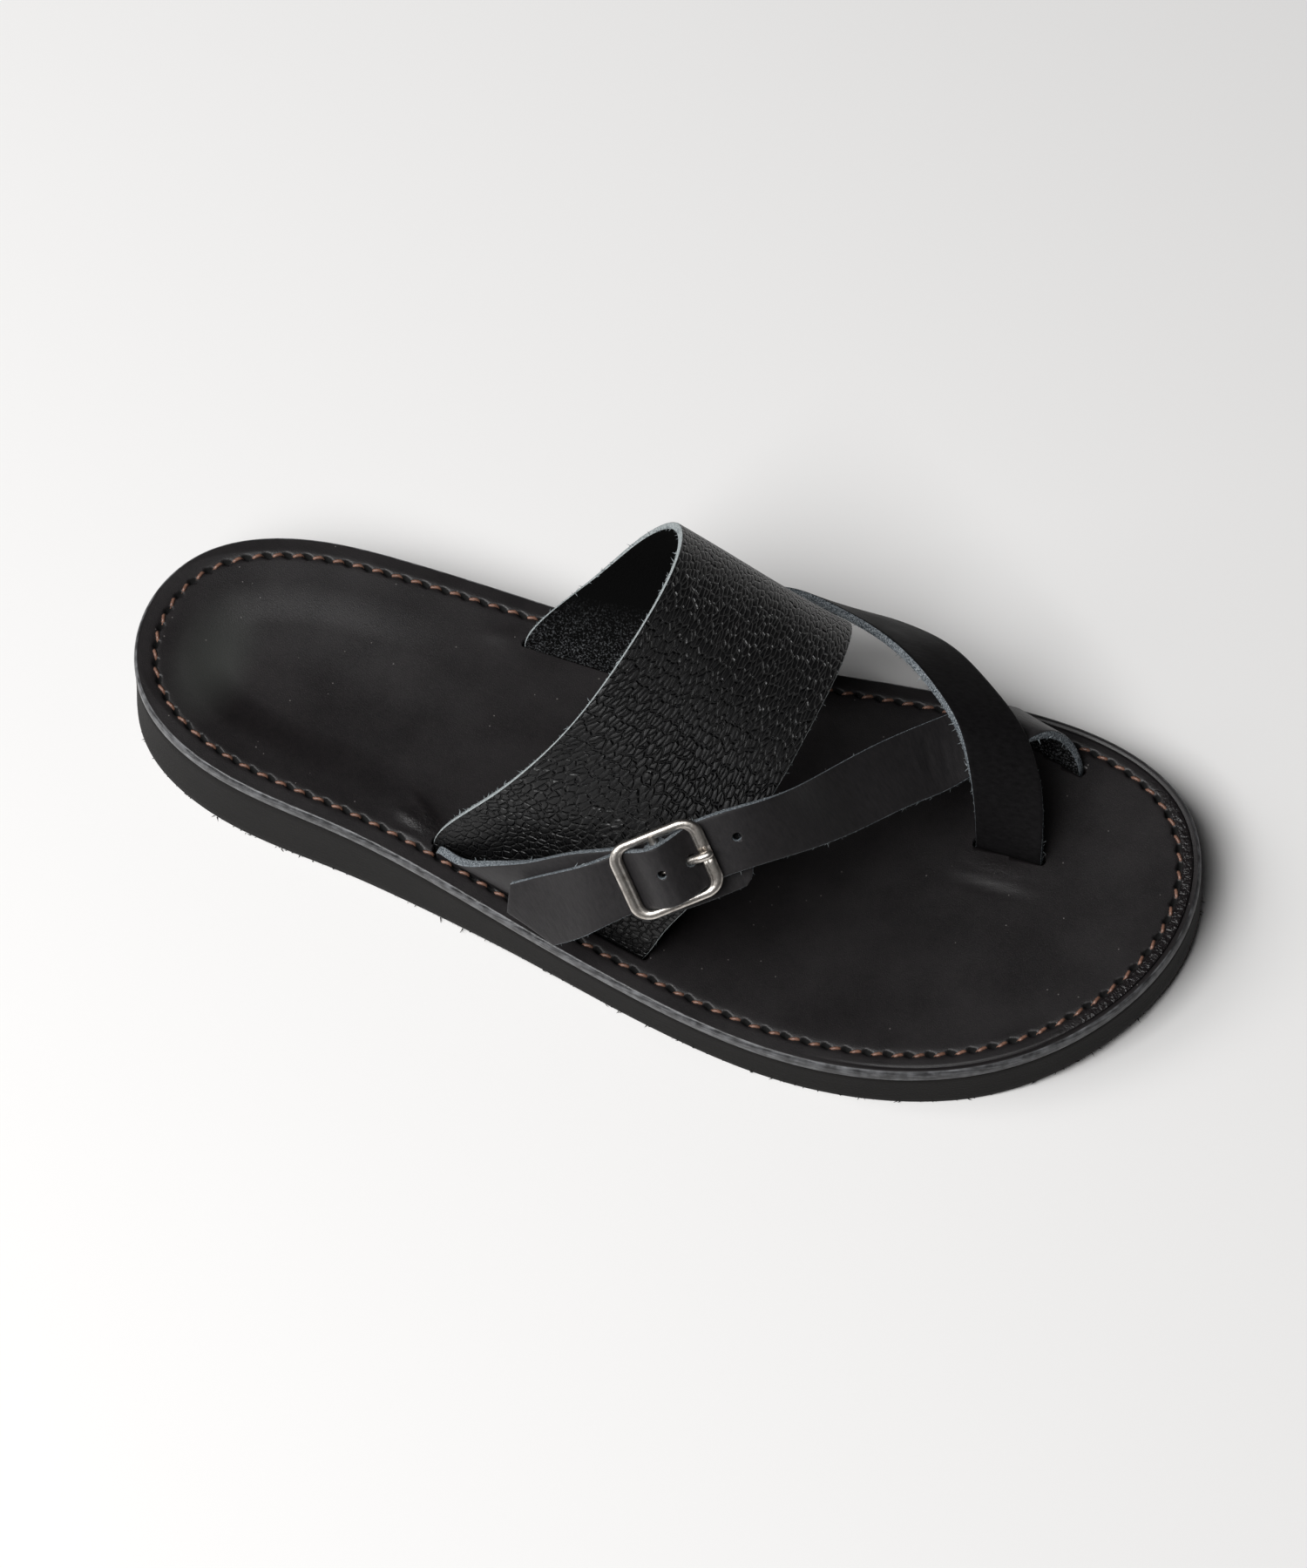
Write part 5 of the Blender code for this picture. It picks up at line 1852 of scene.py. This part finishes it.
@dataclass
class SmallWork:
    """Stitches of the footbed, fibres of the cut edges and burrs of the ground sole."""

    plan: Plan
    stitch_length: float = 3.1
    stitch_stations: int = 12
    stitch_sides: int = 9
    stitch_rise: float = 0.12
    stitch_dive: float = 0.95
    thread: float = 0.41  # radius
    plies: int = 3
    ply_depth: float = 0.16  # as a share of the radius
    twist: float = 1.3  # turns per stitch
    slant: float = math.radians(16)
    sliver_rows: Rows = ((0.0, 1.0), (0.5, 0.7), (1.0, 0.15))  # share of the length, of the thickness
    sliver_sides: int = 3
    sliver_bend: float = 0.35
    fibre_length: float = 1.3
    fibre_thickness: float = 0.15
    fibre_spacing: float = 0.4
    fibre_smallest: float = 0.2  # share of the length
    fray_share: float = 0.6
    fray_shares: dict[tuple[str, str], float] = field(default_factory=lambda: {  # cleaner edges
        ("toe_strap", "heelward"): 0.08,
        ("buckle_strap", "heelward"): 0.2,
        ("toe_strap", "toeward"): 0.45,
    })
    burr_length: float = 1.3
    burr_thickness: float = 0.2
    burr_smallest: float = 0.12  # share of the length
    burr_places: int = 900
    burr_share: float = 0.35
    seed: int = 7

    def stitch(self) -> Piece:
        """Make one stitch of twisted thread that dives into its holes at both ends.

        Returns:
            The stencil.
        """
        points = []
        for share in np.linspace(0.0, 1.0, self.stitch_stations + 1):
            x = (share - 0.5) * self.stitch_length
            arch = self.stitch_rise - self.stitch_dive * abs(2 * share - 1) ** 3
            for turn in full_turn(self.stitch_sides):
                ply = math.cos(self.plies * (turn - self.twist * 2 * math.pi * share))
                radius = self.thread * (1 + self.ply_depth * ply)
                points.append((x, radius * math.cos(turn), arch + radius * math.sin(turn)))
        return self.stencil("stitch", points, self.stitch_sides)

    def sliver(self, name: str, length: float, thickness: float) -> Piece:
        """Make a bent sliver with a pointed end.

        Args:
            name: Name of the stencil.
            length: Its length.
            thickness: Its radius at the root.

        Returns:
            The stencil.
        """
        points = []
        for share, wide in self.sliver_rows:
            bend = self.sliver_bend * length * share * share
            for turn in full_turn(self.sliver_sides):
                across, out = thickness * wide * math.cos(turn), thickness * wide * math.sin(turn)
                points.append((length * share, across + bend, out))
        return self.stencil(name, points, self.sliver_sides)

    def stencil(self, name: str, points: list[tuple[float, ...]], sides: int) -> Piece:
        """Make an object at the origin that a tree repeats.

        Args:
            name: Its name.
            points: Its rings of points.
            sides: Points of each ring.

        Returns:
            The object, which doesn't render.
        """
        faces = tube_faces(len(points) // sides, sides)
        made = publish(name, np.array(points) + self.plan.origin, faces, self.plan, [THREAD])
        made.hide_render = True
        return made

    def build(self, footbed: Footbed, outsole: Outsole, ribbons: list[Ribbon]) -> None:
        """Sew the footbed and fray the cut edges and the sole.

        Args:
            footbed: Gives the seam.
            outsole: Gives the edge with the burrs.
            ribbons: Give the edges with the fibres.
        """
        even, scattered = line_tree(LineTool.EVEN), line_tree(LineTool.SCATTERED)
        line, _ = footbed.seam_points()
        heights = self.plan.top(line) + footbed.relief(line, footbed.seam_inset)
        stitch = self.stitch()
        seam = follow_line("footbed_stitches", self.plan, even, np.column_stack([line, heights]), True,
                           Count=footbed.stitch_count(), Slant=self.slant, Piece=stitch,
                           Finish=THREAD.material())
        present(seam, "footbed")
        fibre = self.sliver("fibre", self.fibre_length, self.fibre_thickness)
        for number, ribbon in enumerate(ribbons):
            for side, path in ribbon.arrises().items():
                count = round(travelled(path)[-1] / self.fibre_spacing)
                share = self.fray_shares.get((ribbon.name, side), self.fray_share)
                fray = follow_line(f"{ribbon.name}_{side}_fibres", self.plan, scattered, path, False,
                                   Count=count, Share=share, Smallest=self.fibre_smallest,
                                   Seed=self.seed + number, Piece=fibre, Finish=FRAY.material())
                present(fray, "upper")
        burr = self.sliver("burr", self.burr_length, self.burr_thickness)
        burrs = follow_line("sole_burrs", self.plan, scattered, outsole.burr_path(), True,
                            Count=self.burr_places, Share=self.burr_share, Smallest=self.burr_smallest,
                            Seed=self.seed, Piece=burr, Finish=SOLE.material())
        for vertex in burrs.data.vertices:
            vertex.co.z = max(vertex.co.z, 0.0)
        present(burrs, "outsole")
        for made in (stitch, fibre, burr):
            bpy.data.objects.remove(made, do_unlink=True)


# Studio


@dataclass
class Studio:
    """Pale floor, soft light and the camera at the photo's angle."""

    plan: Plan
    eye: tuple[float, float, float] = (263.88, -619.64, 1279.35)
    photo_aim: tuple[float, float, float] = (31.37, 36.24, 0.0)
    aim: tuple[float, float, float] = (6.0, 2.0, 18.0)
    sensor: float = 36.0
    focal_pixels: float = 4981.65
    photo_height: float = 1800.0  # in pixels
    closer: float = 1.36
    clip: tuple[float, float] = (0.05, 50.0)  # nearest and farthest, in metres
    floor_half: float = 4.0  # in metres
    right: tuple[float, float, float] = (0.943, 0.334, 0.0)  # the picture's right, along the floor
    softboxes: tuple[tuple[str, float, float, float, float], ...] = (  # name, metres right, back, up, watts
        ("key", -0.67, -0.67, 1.53, 28.0),
        ("side", -1.38, 0.0, 1.16, 12.5),
    )
    softbox_size: float = 1.1  # in metres
    sky_colour: str = "#fbfbfc"
    sky_strength: float = 0.015

    def place(self, point: tuple[float, float, float]) -> Vector:
        """Point of the plan in metres of the frame."""
        return Vector((np.array(point) - self.plan.origin) * MM)

    def build(self) -> None:
        """Make floor, camera, lights and world."""
        self.floor()
        self.camera()
        self.lights()
        world = bpy.data.worlds.new("studio")
        world.use_nodes = True
        feed(world.node_tree, world.node_tree.nodes["Background"], {
            "Color": linear(self.sky_colour), "Strength": self.sky_strength})
        bpy.context.scene.world = world
        bpy.context.scene.view_settings.view_transform = "Standard"

    def floor(self) -> None:
        """Make the plain pale floor."""
        half = self.floor_half
        corners = [(-half, -half, 0.0), (half, -half, 0.0), (half, half, 0.0), (-half, half, 0.0)]
        mesh = bpy.data.meshes.new("floor")
        mesh.from_pydata(corners, [], [(0, 1, 2, 3)])
        mesh.materials.append(FLOOR.material())
        add_object("floor", mesh)

    def lights(self) -> None:
        """Hang the square softboxes, each facing the sandal."""
        right, up = Vector(self.right), Vector((0.0, 0.0, 1.0))
        back = up.cross(right)
        for name, rightward, backward, upward, power in self.softboxes:
            light = bpy.data.lights.new(name, "AREA")
            light.size = self.softbox_size
            light.energy = power
            made = add_object(name, light)
            made.location = right * rightward + back * backward + up * upward
            made.rotation_euler = (-made.location).to_track_quat("-Z", "Y").to_euler()

    def camera(self) -> None:
        """Put the camera at the photo's place, turned to the sandal's middle and with a longer lens."""
        lens = bpy.data.cameras.new("camera")
        lens.sensor_width = self.sensor
        lens.lens = self.sensor * self.focal_pixels / self.photo_height * self.closer
        lens.clip_start, lens.clip_end = self.clip
        made = add_object("camera", lens)
        made.location = self.place(self.eye)
        first = self.place(self.photo_aim) - made.location
        turned = self.place(self.aim) - made.location
        facing = first.rotation_difference(turned) @ first.to_track_quat("-Z", "Y")
        made.rotation_euler = facing.to_euler()
        bpy.context.scene.camera = made


def main() -> None:
    """Build every sub-assembly and the studio."""
    logging.basicConfig(level=logging.INFO, format="%(message)s")
    plan = Plan()
    Studio(plan).build()
    outsole, footbed, buckle = Outsole(plan), Footbed(plan), Buckle(plan)
    outsole.build()
    footbed.build()
    ribbons = Upper(plan, buckle).build()
    buckle.build_chapes()
    buckle.build_frame()
    buckle.build_prong()
    SmallWork(plan).build(footbed, outsole, ribbons)


if __name__ == "__main__":
    main()
